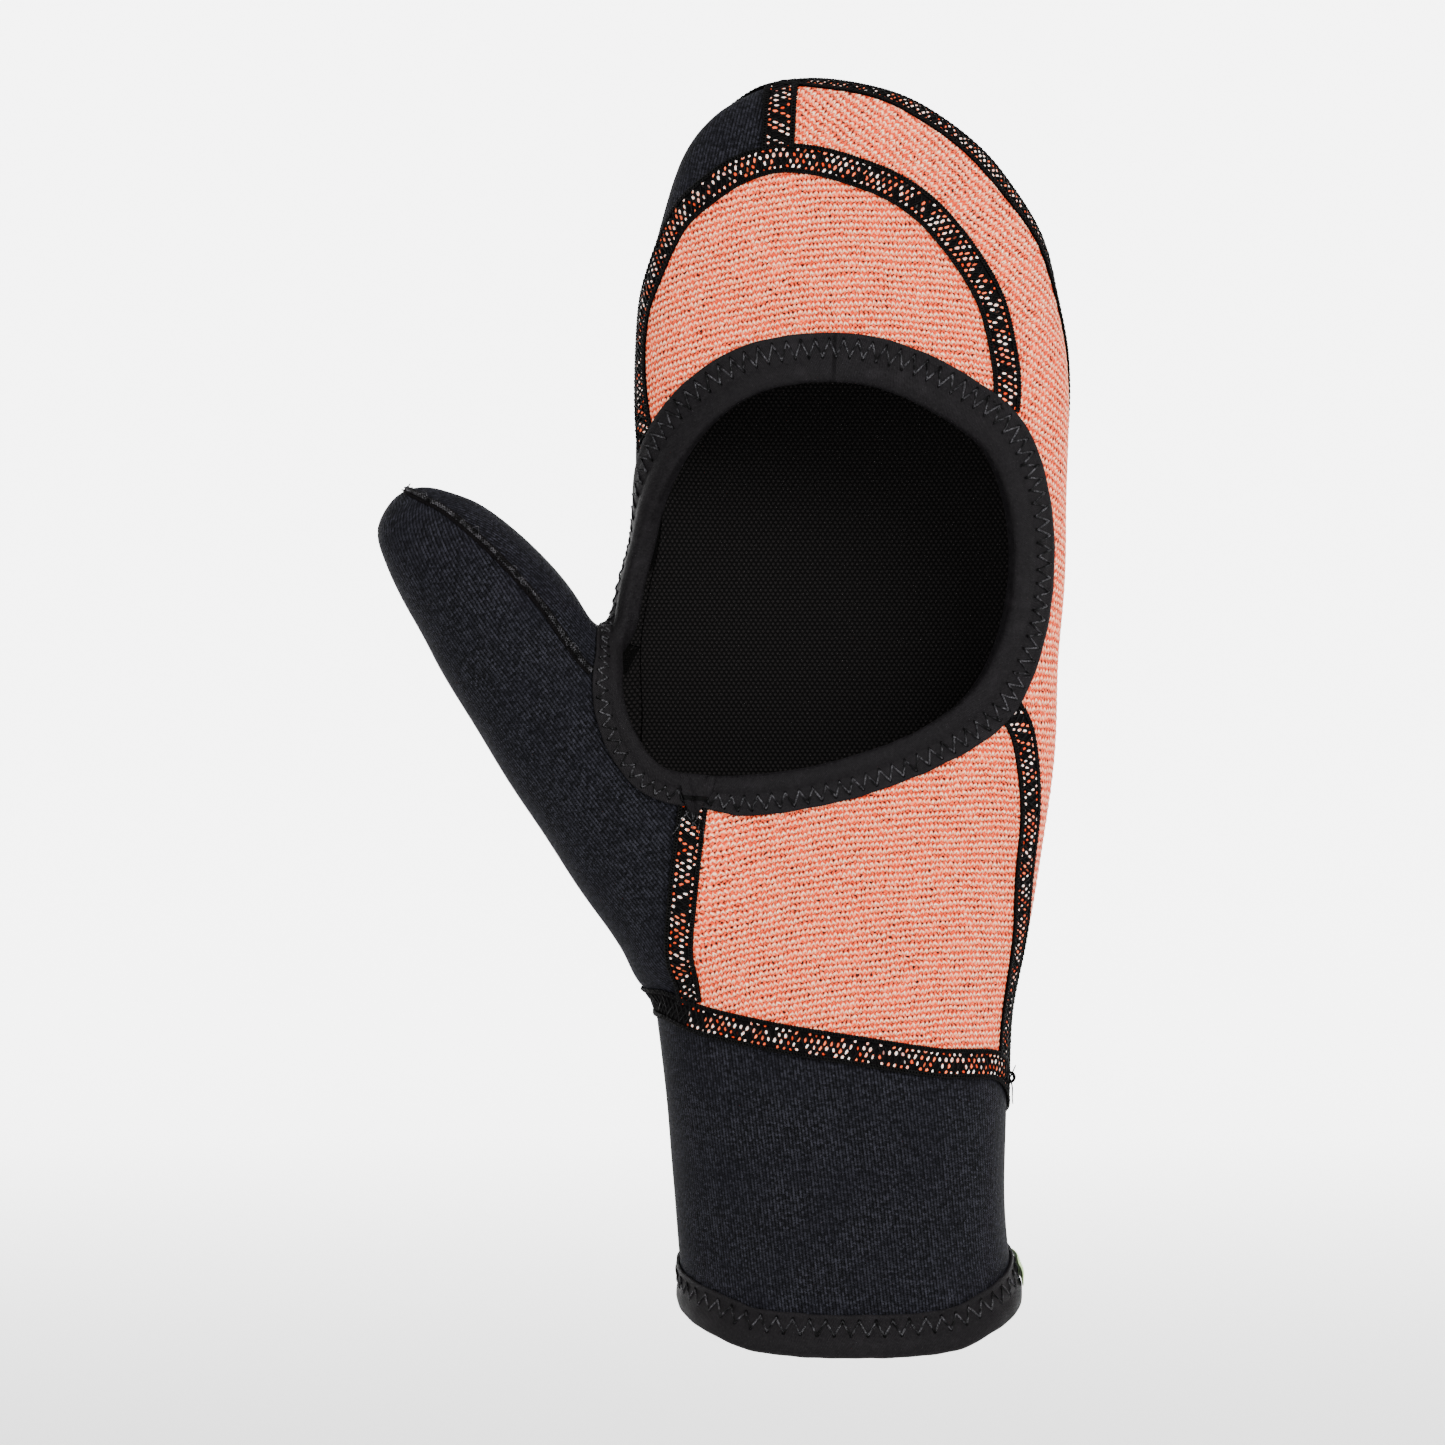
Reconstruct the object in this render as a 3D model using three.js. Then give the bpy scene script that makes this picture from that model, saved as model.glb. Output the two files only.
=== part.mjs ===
// A palmless neoprene mitten for the left hand, seen from its palm side along +Y.
// Millimetres, +Z up towards the fingertips, -Y is the palm side, +X the little-finger side.
// The origin is the middle of the wrist opening, where the forearm comes in.
import * as THREE from 'three';

// Overall sizes of the filled mitten, outside the cloth
const MITT_LENGTH = 261.5;
const HAND_WIDTH = 97.2;
const HAND_DEPTH = 48;
const THUMB_LENGTH = 136;
const THUMB_WIDTH = 35;
const THUMB_DEPTH = 31;
const THUMB_SPREAD = 31.4;

// The neoprene, its seams and its edge binding
const WALL = 2.5;
const PANEL_GAP = 0.8;
const SEAM_WIDTH = 6.6;
const THUMB_SEAM_WIDTH = 2.8;
const SEAM_THICKNESS = 0.8;
const SEAM_CLEARANCE = 0.4;
const BINDING_WIDTH = 9.6;
const BINDING_INNER_WIDTH = 5;
const HEM_BINDING_SHARE = 0.86;
const BINDING_THICKNESS = 0.8;
const BINDING_CLEARANCE = 0.6;
const THUMB_SIDE_BINDING_SHARE = 0.62;
const LABEL_WIDTH = 12;
const LABEL_THICKNESS = 0.6;
const FLAP_WIDTH = 7;
const FLAP_THICKNESS = 0.7;

// How round the sections are, and how softly the thumb grows out of the hand
const HAND_POWER = 2.3;
const THUMB_POWER = 2.1;
const WEB_BLEND = 9;

// Sections of the hand. up is a share of MITT_LENGTH, centre and half of half the HAND_WIDTH, flat of the
// ratio of HAND_DEPTH to HAND_WIDTH, and lean, towards the back, of half the HAND_DEPTH.
const HAND_ROWS = [
  { up: -0.085, centre: 0.032, half: 0.773, flat: 1.41, lean: 0 },
  { up: -0.043, centre: 0.023, half: 0.773, flat: 1.41, lean: 0 },
  { up: 0, centre: -0.007, half: 0.761, flat: 1.42, lean: 0 },
  { up: 0.077, centre: -0.028, half: 0.777, flat: 1.36, lean: 0 },
  { up: 0.154, centre: -0.048, half: 0.798, flat: 1.3, lean: 0 },
  { up: 0.214, centre: -0.048, half: 0.83, flat: 1.23, lean: 0.01 },
  { up: 0.282, centre: -0.041, half: 0.901, flat: 1.12, lean: 0.02 },
  { up: 0.359, centre: -0.046, half: 0.98, flat: 1.02, lean: 0.03 },
  { up: 0.436, centre: -0.057, half: 1.032, flat: 0.948, lean: 0.04 },
  { up: 0.513, centre: -0.051, half: 1.049, flat: 0.913, lean: 0.04 },
  { up: 0.564, centre: -0.011, half: 1.028, flat: 0.915, lean: 0.03 },
  { up: 0.615, centre: 0.03, half: 1, flat: 0.908, lean: 0.01 },
  { up: 0.692, centre: 0.037, half: 0.998, flat: 0.86, lean: -0.03 },
  { up: 0.769, centre: 0.037, half: 0.989, flat: 0.81, lean: -0.1 },
  { up: 0.821, centre: 0.021, half: 0.95, flat: 0.79, lean: -0.16 },
  { up: 0.872, centre: 0.014, half: 0.874, flat: 0.777, lean: -0.22 },
  { up: 0.923, centre: -0.032, half: 0.736, flat: 0.8, lean: -0.28 },
  { up: 0.949, centre: -0.062, half: 0.632, flat: 0.824, lean: -0.31 },
  { up: 0.974, centre: -0.092, half: 0.483, flat: 0.86, lean: -0.34 },
  { up: 0.987, centre: -0.108, half: 0.352, flat: 0.876, lean: -0.35 },
  { up: 1, centre: -0.156, half: 0, flat: 0.88, lean: -0.36 },
];

// Sections of the thumb. up is a share of THUMB_LENGTH from its root in the palm, centre and half of half the
// THUMB_WIDTH, flat of the ratio of THUMB_DEPTH to THUMB_WIDTH, and lean of half the HAND_DEPTH.
const THUMB_ROWS = [
  { up: 0, centre: 0.68, half: 0, flat: 0.75, lean: -0.05 },
  { up: 0.033, centre: 0.67, half: 0.8, flat: 0.75, lean: -0.06 },
  { up: 0.074, centre: 0.66, half: 1.2, flat: 0.77, lean: -0.08 },
  { up: 0.111, centre: 0.64, half: 1.42, flat: 0.78, lean: -0.1 },
  { up: 0.169, centre: 0.61, half: 1.42, flat: 0.82, lean: -0.13 },
  { up: 0.295, centre: 0.41, half: 1.29, flat: 0.88, lean: -0.2 },
  { up: 0.41, centre: 0.3, half: 1.21, flat: 0.93, lean: -0.25 },
  { up: 0.525, centre: 0.16, half: 1.09, flat: 0.98, lean: -0.3 },
  { up: 0.618, centre: 0.07, half: 1, flat: 1, lean: -0.33 },
  { up: 0.718, centre: 0.06, half: 0.977, flat: 1, lean: -0.37 },
  { up: 0.78, centre: 0.04, half: 0.931, flat: 1, lean: -0.39 },
  { up: 0.8475, centre: -0.01, half: 0.857, flat: 1, lean: -0.42 },
  { up: 0.918, centre: -0.09, half: 0.709, flat: 1, lean: -0.45 },
  { up: 0.969, centre: -0.18, half: 0.491, flat: 1, lean: -0.47 },
  { up: 1, centre: -0.155, half: 0, flat: 1, lean: -0.48 },
];

// Where the thumb is rooted: shares of half the HAND_WIDTH, of MITT_LENGTH
const THUMB_ROOT = { across: -0.529, up: 0.2085 };

// The lines of the seams and edges. across is a share of half the HAND_WIDTH, up of MITT_LENGTH and depth of
// half the HAND_DEPTH, near where the line lies. PALM and BACK find the depth from that side.
const PALM = -1;
const BACK = 1;

const PALM_HOLE = [
  { across: -0.046, up: 0.745, depth: PALM },
  { across: 0.184, up: 0.738, depth: PALM },
  { across: 0.46, up: 0.714, depth: PALM },
  { across: 0.667, up: 0.684, depth: PALM },
  { across: 0.773, up: 0.637, depth: PALM },
  { across: 0.8, up: 0.581, depth: PALM },
  { across: 0.74, up: 0.521, depth: PALM },
  { across: 0.602, up: 0.475, depth: PALM },
  { across: 0.368, up: 0.442, depth: PALM },
  { across: 0.009, up: 0.416, depth: PALM },
  { across: -0.336, up: 0.403, depth: PALM },
  { across: -0.644, up: 0.401, depth: PALM },
  { across: -0.862, up: 0.41, depth: PALM },
  { across: -0.978, up: 0.437, depth: PALM },
  { across: -1.045, up: 0.474, depth: PALM },
  { across: -1.05, up: 0.513, depth: PALM },
  { across: -1.005, up: 0.556, depth: PALM },
  { across: -0.942, up: 0.607, depth: PALM },
  { across: -0.846, up: 0.656, depth: PALM },
  { across: -0.653, up: 0.706, depth: PALM },
  { across: -0.391, up: 0.737, depth: PALM },
];

const TIP_SEAM = [
  { across: -0.84, up: 0.653, depth: PALM },
  { across: -0.914, up: 0.688, depth: -0.36 },
  { across: -0.945, up: 0.731, depth: -0.27 },
  { across: -0.945, up: 0.769, depth: -0.26 },
  { across: -0.924, up: 0.807, depth: -0.33 },
  { across: -0.885, up: 0.832, depth: -0.42 },
  { across: -0.83, up: 0.857, depth: PALM },
  { across: -0.763, up: 0.881, depth: PALM },
  { across: -0.607, up: 0.907, depth: PALM },
  { across: -0.483, up: 0.921, depth: PALM },
  { across: -0.317, up: 0.93, depth: PALM },
  { across: -0.138, up: 0.928, depth: PALM },
  { across: 0.037, up: 0.919, depth: PALM },
  { across: 0.212, up: 0.906, depth: PALM },
  { across: 0.363, up: 0.887, depth: PALM },
  { across: 0.478, up: 0.864, depth: PALM },
  { across: 0.584, up: 0.837, depth: PALM },
  { across: 0.667, up: 0.808, depth: PALM },
  { across: 0.717, up: 0.772, depth: PALM },
  { across: 0.74, up: 0.733, depth: PALM },
  { across: 0.69, up: 0.676, depth: PALM },
];

const SPLIT_SEAM = [
  { across: -0.313, up: 0.93, depth: PALM },
  { across: -0.304, up: 0.962, depth: PALM },
  { across: -0.276, up: 0.992, depth: -0.4 },
];

const BACK_SEAM = [
  { across: -0.76, up: 0.196, depth: 0.62 },
  { across: -0.86, up: 0.265, depth: 0.66 },
  { across: -0.934, up: 0.333, depth: 0.66 },
  { across: -0.989, up: 0.402, depth: 0.66 },
  { across: -1, up: 0.462, depth: 0.64 },
  { across: -1, up: 0.513, depth: 0.6 },
  { across: -0.97, up: 0.565, depth: 0.56 },
  { across: -0.93, up: 0.624, depth: 0.52 },
  { across: -0.91, up: 0.692, depth: 0.46 },
  { across: -0.9, up: 0.761, depth: 0.36 },
  { across: -0.87, up: 0.821, depth: 0.26 },
  { across: -0.8, up: 0.876, depth: 0.16 },
  { across: -0.7, up: 0.919, depth: 0.06 },
  { across: -0.57, up: 0.953, depth: -0.06 },
  { across: -0.42, up: 0.979, depth: -0.2 },
  { across: -0.253, up: 0.995, depth: -0.4 },
  { across: -0.069, up: 0.995, depth: -0.5 },
  { across: 0.161, up: 0.986, depth: -0.53 },
  { across: 0.345, up: 0.971, depth: -0.54 },
  { across: 0.529, up: 0.948, depth: -0.52 },
  { across: 0.667, up: 0.922, depth: -0.48 },
  { across: 0.768, up: 0.895, depth: -0.42 },
  { across: 0.86, up: 0.868, depth: -0.34 },
  { across: 0.929, up: 0.838, depth: -0.24 },
  { across: 0.98, up: 0.803, depth: -0.1 },
  { across: 1.01, up: 0.752, depth: 0.1 },
  { across: 1.0, up: 0.684, depth: 0.28 },
  { across: 0.98, up: 0.598, depth: 0.42 },
  { across: 0.95, up: 0.513, depth: 0.52 },
  { across: 0.91, up: 0.427, depth: 0.56 },
  { across: 0.86, up: 0.342, depth: 0.54 },
  { across: 0.81, up: 0.274, depth: 0.46 },
  { across: 0.77, up: 0.214, depth: 0.32 },
  { across: 0.745, up: 0.162, depth: 0.14 },
  { across: 0.735, up: 0.124, depth: 0.05 },
];

const SIDE_SEAM = [
  { across: 0.644, up: 0.484, depth: PALM },
  { across: 0.796, up: 0.449, depth: PALM },
  { across: 0.84, up: 0.412, depth: PALM },
  { across: 0.85, up: 0.369, depth: PALM },
  { across: 0.83, up: 0.316, depth: -0.45 },
  { across: 0.795, up: 0.265, depth: -0.35 },
  { across: 0.765, up: 0.214, depth: -0.28 },
  { across: 0.735, up: 0.159, depth: -0.25 },
];

const HEEL_SEAM = [
  { across: -0.681, up: 0.402, depth: PALM },
  { across: -0.704, up: 0.373, depth: PALM },
  { across: -0.745, up: 0.305, depth: PALM },
  { across: -0.759, up: 0.249, depth: PALM },
  { across: -0.704, up: 0.201, depth: PALM },
];

const WRIST_SEAM = [
  { across: -0.885, up: 0.2135, depth: 0 },
  { across: -0.84, up: 0.21, depth: -0.4 },
  { across: -0.704, up: 0.2, depth: PALM },
  { across: -0.327, up: 0.184, depth: PALM },
  { across: 0.041, up: 0.173, depth: PALM },
  { across: 0.414, up: 0.162, depth: PALM },
  { across: 0.7, up: 0.156, depth: -0.4 },
  { across: 0.754, up: 0.135, depth: 0 },
  { across: 0.72, up: 0.123, depth: 0.4 },
  { across: 0.4, up: 0.118, depth: BACK },
  { across: 0, up: 0.12, depth: BACK },
  { across: -0.4, up: 0.145, depth: BACK },
  { across: -0.72, up: 0.189, depth: 0.7 },
  { across: -0.84, up: 0.209, depth: 0.4 },
];

const HEM = [
  { across: -0.75, up: -0.044, depth: 0 },
  { across: -0.7, up: -0.056, depth: -0.45 },
  { across: -0.6, up: -0.067, depth: -0.8 },
  { across: -0.45, up: -0.076, depth: PALM },
  { across: -0.2, up: -0.081, depth: PALM },
  { across: 0.04, up: -0.082, depth: PALM },
  { across: 0.28, up: -0.081, depth: PALM },
  { across: 0.52, up: -0.076, depth: PALM },
  { across: 0.68, up: -0.065, depth: -0.8 },
  { across: 0.78, up: -0.052, depth: -0.45 },
  { across: 0.81, up: -0.036, depth: 0 },
  { across: 0.74, up: -0.024, depth: 0.6 },
  { across: 0.5, up: -0.015, depth: BACK },
  { across: 0, up: -0.012, depth: BACK },
  { across: -0.5, up: -0.018, depth: BACK },
  { across: -0.69, up: -0.03, depth: 0.6 },
];

const WEB_SEAM = [
  { across: -1.03, up: 0.524, depth: PALM },
  { across: -1.05, up: 0.523, depth: -0.35 },
  { across: -1.05, up: 0.521, depth: 0 },
  { across: -1.03, up: 0.519, depth: 0.35 },
  { across: -1, up: 0.517, depth: 0.6 },
];

// The cuff's closing seam runs down its outer side, a little behind the edge
const CUFF_SEAM = [
  { across: 0.66, up: 0.12, depth: 0.6 },
  { across: 0.66, up: -0.006, depth: 0.6 },
];

// The thumb's seam runs from the palm hole over its tip and down to the web behind. along is a share of
// THUMB_LENGTH from the root, across of half the THUMB_WIDTH, and depth of half the HAND_DEPTH.
const THUMB_SEAM = [
  { along: 0.55, across: 0.9, depth: PALM },
  { along: 0.59, across: 0.71, depth: PALM },
  { along: 0.63, across: 0.661, depth: PALM },
  { along: 0.716, across: 0.62, depth: PALM },
  { along: 0.793, across: 0.521, depth: PALM },
  { along: 0.867, across: 0.381, depth: PALM },
  { along: 0.943, across: 0.172, depth: PALM },
  { along: 0.975, across: 0.02, depth: -0.75 },
  { along: 0.99, across: -0.08, depth: -0.6 },
  { along: 0.99, across: -0.08, depth: -0.35 },
  { along: 0.96, across: 0.05, depth: -0.1 },
  { along: 0.9, across: 0.2, depth: BACK },
  { along: 0.8, across: 0.38, depth: BACK },
  { along: 0.7, across: 0.52, depth: BACK },
  { along: 0.62, across: 0.75, depth: BACK },
  { along: 0.565, across: 1.08, depth: 0.6 },
];

// Colours of the cloths
const SALMON_KNIT = new THREE.MeshStandardMaterial({ color: '#ee9c82', roughness: 0.95, metalness: 0 });
const NAVY_JERSEY = new THREE.MeshStandardMaterial({ color: '#191a22', roughness: 0.85, metalness: 0 });
const BLACK_BINDING = new THREE.MeshStandardMaterial({ color: '#1b1a1b', roughness: 0.7, metalness: 0 });
const BLACK_THREAD = new THREE.MeshStandardMaterial({ color: '#141313', roughness: 0.8, metalness: 0 });
const PALE_LABEL = new THREE.MeshStandardMaterial({ color: '#c9d0b4', roughness: 0.8, metalness: 0 });

const HALF_WIDTH = HAND_WIDTH / 2;
const HALF_DEPTH = HAND_DEPTH / 2;
const HALF_THUMB = THUMB_WIDTH / 2;
const UP = new THREE.Vector3(0, 0, 1);

// The shape of the hand and thumb, as a field that is zero on the outside of the cloth

// A smooth cubic through the rows of a table, on past its ends in a straight line
function readRows(rows, at, value) {
  const last = rows.length - 1;
  let i = 0;
  while (i < last - 1 && at > rows[i + 1].up) i += 1;
  const slope = (a, b) => (value(rows[b]) - value(rows[a])) / (rows[b].up - rows[a].up);
  const tangent = (k) => slope(Math.max(k - 1, 0), Math.min(k + 1, last));
  if (at <= rows[0].up) return value(rows[0]) + tangent(0) * (at - rows[0].up);
  if (at >= rows[last].up) return value(rows[last]) + tangent(last) * (at - rows[last].up);
  const step = rows[i + 1].up - rows[i].up;
  const t = (at - rows[i].up) / step;
  const u = 1 - t;
  return (1 + 2 * t) * u * u * value(rows[i]) + t * u * u * step * tangent(i)
    + t * t * (3 - 2 * t) * value(rows[i + 1]) - t * t * u * step * tangent(i + 1);
}

function roundField(rows, at, across, depth, halfWidth, flatness, roundness) {
  const side = across - readRows(rows, at, (row) => row.centre) * halfWidth;
  const front = depth - readRows(rows, at, (row) => row.lean) * HALF_DEPTH;
  const flat = readRows(rows, at, (row) => row.flat) * flatness;
  const radius = (Math.abs(side) ** roundness + Math.abs(front / flat) ** roundness) ** (1 / roundness);
  const squared = readRows(rows, at, (row) => row.half * row.half) * halfWidth * halfWidth;
  return (radius * radius - squared) / (2 * halfWidth);
}

const thumbTurn = THREE.MathUtils.degToRad(THUMB_SPREAD);
const thumbAlong = new THREE.Vector3(-Math.sin(thumbTurn), 0, Math.cos(thumbTurn));
const thumbAcross = new THREE.Vector3(Math.cos(thumbTurn), 0, Math.sin(thumbTurn));
const thumbRoot = new THREE.Vector3(THUMB_ROOT.across * HALF_WIDTH, 0, THUMB_ROOT.up * MITT_LENGTH);

function handField(p) {
  return roundField(HAND_ROWS, p.z / MITT_LENGTH, p.x, p.y, HALF_WIDTH, HAND_DEPTH / HAND_WIDTH,
    HAND_POWER);
}

function thumbField(p) {
  const q = p.clone().sub(thumbRoot);
  return roundField(THUMB_ROWS, q.dot(thumbAlong) / THUMB_LENGTH, q.dot(thumbAcross), p.y, HALF_THUMB,
    THUMB_DEPTH / THUMB_WIDTH, THUMB_POWER);
}

function field(p) {
  const hand = handField(p);
  const thumb = thumbField(p);
  const mix = Math.max(WEB_BLEND - Math.abs(hand - thumb), 0) / WEB_BLEND;
  return Math.min(hand, thumb) - mix * mix * WEB_BLEND / 4;
}

function gradient(p, reach) {
  const along = (axis) => {
    const ahead = p.clone();
    const behind = p.clone();
    ahead[axis] += reach;
    behind[axis] -= reach;
    return (field(ahead) - field(behind)) / (2 * reach);
  };
  return new THREE.Vector3(along('x'), along('y'), along('z'));
}

const NORMAL_REACH = 0.4;
const normalAt = (p) => gradient(p, NORMAL_REACH).normalize();

// Moves a point to the nearest place on the cloth
function settle(start) {
  const p = start.clone();
  const longest = HALF_DEPTH / 4;
  for (let round = 0; round < 16; round += 1) {
    const g = gradient(p, 0.02);
    const move = g.multiplyScalar(-field(p) / g.lengthSq());
    p.add(move.clampLength(0, longest));
    if (move.length() < 1e-4) break;
  }
  return p;
}

// The place on the cloth that is seen from the palm side or from the back at x and z
function seenFrom(side, x, z) {
  let outside = side * HAND_DEPTH;
  let inside = null;
  const steps = 60;
  for (let k = 1; k < steps && inside === null; k += 1) {
    const y = side * HAND_DEPTH * (1 - 2 * k / steps);
    if (field(new THREE.Vector3(x, y, z)) < 0) inside = y;
    else outside = y;
  }
  if (inside === null) return settle(new THREE.Vector3(x, 0, z));
  for (let round = 0; round < 30; round += 1) {
    const middle = (inside + outside) / 2;
    if (field(new THREE.Vector3(x, middle, z)) < 0) inside = middle;
    else outside = middle;
  }
  return new THREE.Vector3(x, inside, z);
}

function place(row) {
  const p = row.along === undefined
    ? new THREE.Vector3(row.across * HALF_WIDTH, 0, row.up * MITT_LENGTH)
    : thumbRoot.clone().addScaledVector(thumbAlong, row.along * THUMB_LENGTH)
      .addScaledVector(thumbAcross, row.across * HALF_THUMB);
  if (row.depth === PALM || row.depth === BACK) return seenFrom(row.depth, p.x, p.z);
  p.y = row.depth * HALF_DEPTH;
  return settle(p);
}

// Lines on the cloth, measured by their share of the length

function lineThrough(rows, closed = false, first = null, last = null) {
  const points = rows.map(place);
  if (first) points[0] = first(points[0]);
  if (last) points[points.length - 1] = last(points[points.length - 1]);
  const curve = new THREE.CatmullRomCurve3(points, closed, 'centripetal');
  curve.arcLengthDivisions = 400;
  return {
    closed,
    length: curve.getLength(),
    at: (t) => settle(curve.getPointAt(closed ? ((t % 1) + 1) % 1 : THREE.MathUtils.clamp(t, 0, 1))),
    near: (t) => curve.getPointAt(closed ? ((t % 1) + 1) % 1 : THREE.MathUtils.clamp(t, 0, 1)),
  };
}

// The share of a line's length at its nearest place to a point
function nearest(line, point) {
  let best = 0;
  let reach = 0.5;
  let middle = 0.5;
  for (let round = 0; round < 4; round += 1) {
    const steps = 60;
    let least = Infinity;
    for (let k = 0; k <= steps; k += 1) {
      const t = middle + reach * (2 * k / steps - 1);
      const gap = line.near(t).distanceTo(point);
      if (gap < least) {
        least = gap;
        best = t;
      }
    }
    middle = best;
    reach /= 20;
  }
  return line.closed ? best : THREE.MathUtils.clamp(best, 0, 1);
}

const stretch = (line, from, to) => (s) => line.at(from + (to - from) * s);

const spanOf = (part) => {
  let span = 0;
  for (let k = 0; k < 24; k += 1) span += part(k / 24).distanceTo(part((k + 1) / 24));
  return span;
};

// Several stretches end to end. joints are the shares where they meet.
function chain(...parts) {
  const spans = parts.map(spanOf);
  const whole = spans.reduce((a, b) => a + b, 0);
  const chained = (s) => {
    let left = s * whole;
    let k = 0;
    while (k < parts.length - 1 && left > spans[k]) {
      left -= spans[k];
      k += 1;
    }
    return parts[k](Math.min(left / spans[k], 1));
  };
  let sum = 0;
  chained.joints = spans.slice(0, -1).map((span) => {
    sum += span;
    return sum / whole;
  });
  return chained;
}

function reversed(part) {
  const turned = (s) => part(1 - s);
  turned.joints = (part.joints ?? []).map((s) => 1 - s).reverse();
  return turned;
}

// Shares along a part from 0 to 1, closer together where it or the cloth under it bends
const BEND_REACH = 16;
function evenShares(part) {
  const steps = 150;
  const points = [];
  for (let k = 0; k <= steps; k += 1) points.push(part(k / steps));
  const normals = points.map(normalAt);
  const sums = [0];
  for (let k = 0; k < steps; k += 1) {
    const run = points[k + 1].clone().sub(points[k]);
    const before = points[k].clone().sub(points[Math.max(k - 1, 0)]);
    const bend = k > 0 && before.lengthSq() > 0 && run.lengthSq() > 0 ? run.angleTo(before) : 0;
    sums.push(sums[k] + run.length() + BEND_REACH * (bend + normals[k].angleTo(normals[k + 1])));
  }
  return (s) => {
    const at = s * sums[steps];
    let k = 0;
    while (k < steps - 1 && sums[k + 1] < at) k += 1;
    return Math.min(1, (k + (at - sums[k]) / (sums[k + 1] - sums[k])) / steps);
  };
}

// A part read so that its stations crowd at bends, with a station on each of its joints
function even(part, stations) {
  const share = evenShares(part);
  const knots = [{ station: 0, s: 0 }];
  (part.joints ?? []).forEach((joint) => {
    let low = 0;
    let high = 1;
    for (let round = 0; round < 40; round += 1) {
      const middle = (low + high) / 2;
      if (share(middle) < joint) low = middle;
      else high = middle;
    }
    const inside = stations.filter((u) => u > knots[knots.length - 1].station && u < 1);
    const station = inside.reduce((a, b) => (Math.abs(b - low) < Math.abs(a - low) ? b : a));
    knots.push({ station, s: low });
  });
  knots.push({ station: 1, s: 1 });
  return (u) => {
    const k = Math.max(1, knots.findIndex((knot) => knot.station >= u));
    const part01 = (u - knots[k - 1].station) / (knots[k].station - knots[k - 1].station);
    return part(share(knots[k - 1].s + (knots[k].s - knots[k - 1].s) * part01));
  };
}

// Walks over the cloth from a point
function walk(start, heading, distance) {
  const steps = Math.max(1, Math.ceil(Math.abs(distance) / 1.6));
  let p = start.clone();
  const h = heading.clone();
  for (let k = 0; k < steps; k += 1) {
    p = settle(p.addScaledVector(h, distance / steps));
    const n = normalAt(p);
    h.addScaledVector(n, -h.dot(n)).normalize();
  }
  return p;
}

// Solids from rows of points

function meshOf(name, points, faces, material) {
  const position = new Float32Array(points.length * 3);
  points.forEach((p, k) => p.toArray(position, k * 3));
  let volume = 0;
  faces.forEach(([a, b, c]) => {
    volume += points[a].dot(points[b].clone().cross(points[c]));
  });
  const index = faces.flatMap(([a, b, c]) => (volume > 0 ? [a, b, c] : [a, c, b]));
  const geometry = new THREE.BufferGeometry();
  geometry.setAttribute('position', new THREE.BufferAttribute(position, 3));
  geometry.setIndex(index);
  geometry.computeVertexNormals();
  const mesh = new THREE.Mesh(geometry, material);
  mesh.name = name;
  return mesh;
}

// A sheet between two heights over the cloth, from a grid of points on it. ring joins the last row to the first.
function sheetSolid(name, grid, low, high, material, ring = false) {
  const rows = grid.length;
  const columns = grid[0].length;
  const points = [];
  grid.forEach((row) => row.forEach((p) => points.push(p.clone().addScaledVector(normalAt(p), high))));
  grid.forEach((row) => row.forEach((p) => points.push(p.clone().addScaledVector(normalAt(p), low))));
  const under = rows * columns;
  const faces = [];
  const quad = (a, b, c, d) => {
    if (points[a].distanceTo(points[c]) < points[b].distanceTo(points[d])) {
      faces.push([a, b, c], [a, c, d]);
    } else {
      faces.push([a, b, d], [b, c, d]);
    }
  };
  const spans = ring ? rows : rows - 1;
  for (let i = 0; i < spans; i += 1) {
    const here = i * columns;
    const next = ((i + 1) % rows) * columns;
    for (let j = 0; j < columns - 1; j += 1) {
      quad(here + j, next + j, next + j + 1, here + j + 1);
      quad(under + here + j, under + here + j + 1, under + next + j + 1, under + next + j);
    }
    quad(here, under + here, under + next, next);
    const edge = columns - 1;
    quad(here + edge, next + edge, under + next + edge, under + here + edge);
  }
  if (!ring) {
    const end = (rows - 1) * columns;
    for (let j = 0; j < columns - 1; j += 1) {
      quad(j, j + 1, under + j + 1, under + j);
      quad(end + j, under + end + j, under + end + j + 1, end + j + 1);
    }
  }
  return meshOf(name, points, faces, material);
}

// A patch between four lines on the cloth. crown bulges its middle so that it wraps round the right side,
// and crowd draws its rows towards its edges, those along its length more than the others.
function patchGrid({ crown, across, up, crowd = 0, ...sides }) {
  const spread = (count, share) => Array.from({ length: count + 1 }, (_, k) => (
    (1 - share) * (k / count) + share * (1 - Math.cos(Math.PI * (k / count))) / 2
  ));
  const acrossStations = spread(across, crowd / 2);
  const upStations = spread(up, crowd);
  const bottom = even(sides.bottom, acrossStations);
  const top = even(sides.top, acrossStations);
  const left = even(sides.left, upStations);
  const right = even(sides.right, upStations);
  const grid = [];
  const corners = [bottom(0), bottom(1), top(0), top(1)];
  for (const u of acrossStations) {
    const column = [];
    for (const v of upStations) {
      const p = bottom(u).multiplyScalar(1 - v).addScaledVector(top(u), v)
        .addScaledVector(left(v), 1 - u).addScaledVector(right(v), u)
        .addScaledVector(corners[0], -(1 - u) * (1 - v)).addScaledVector(corners[1], -u * (1 - v))
        .addScaledVector(corners[2], -(1 - u) * v).addScaledVector(corners[3], -u * v);
      if (crown) p.addScaledVector(crown, 4 * u * (1 - u) * (1 - (2 * v - 1) ** 4));
      column.push(settle(p));
    }
    grid.push(column);
  }
  return grid;
}

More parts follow.
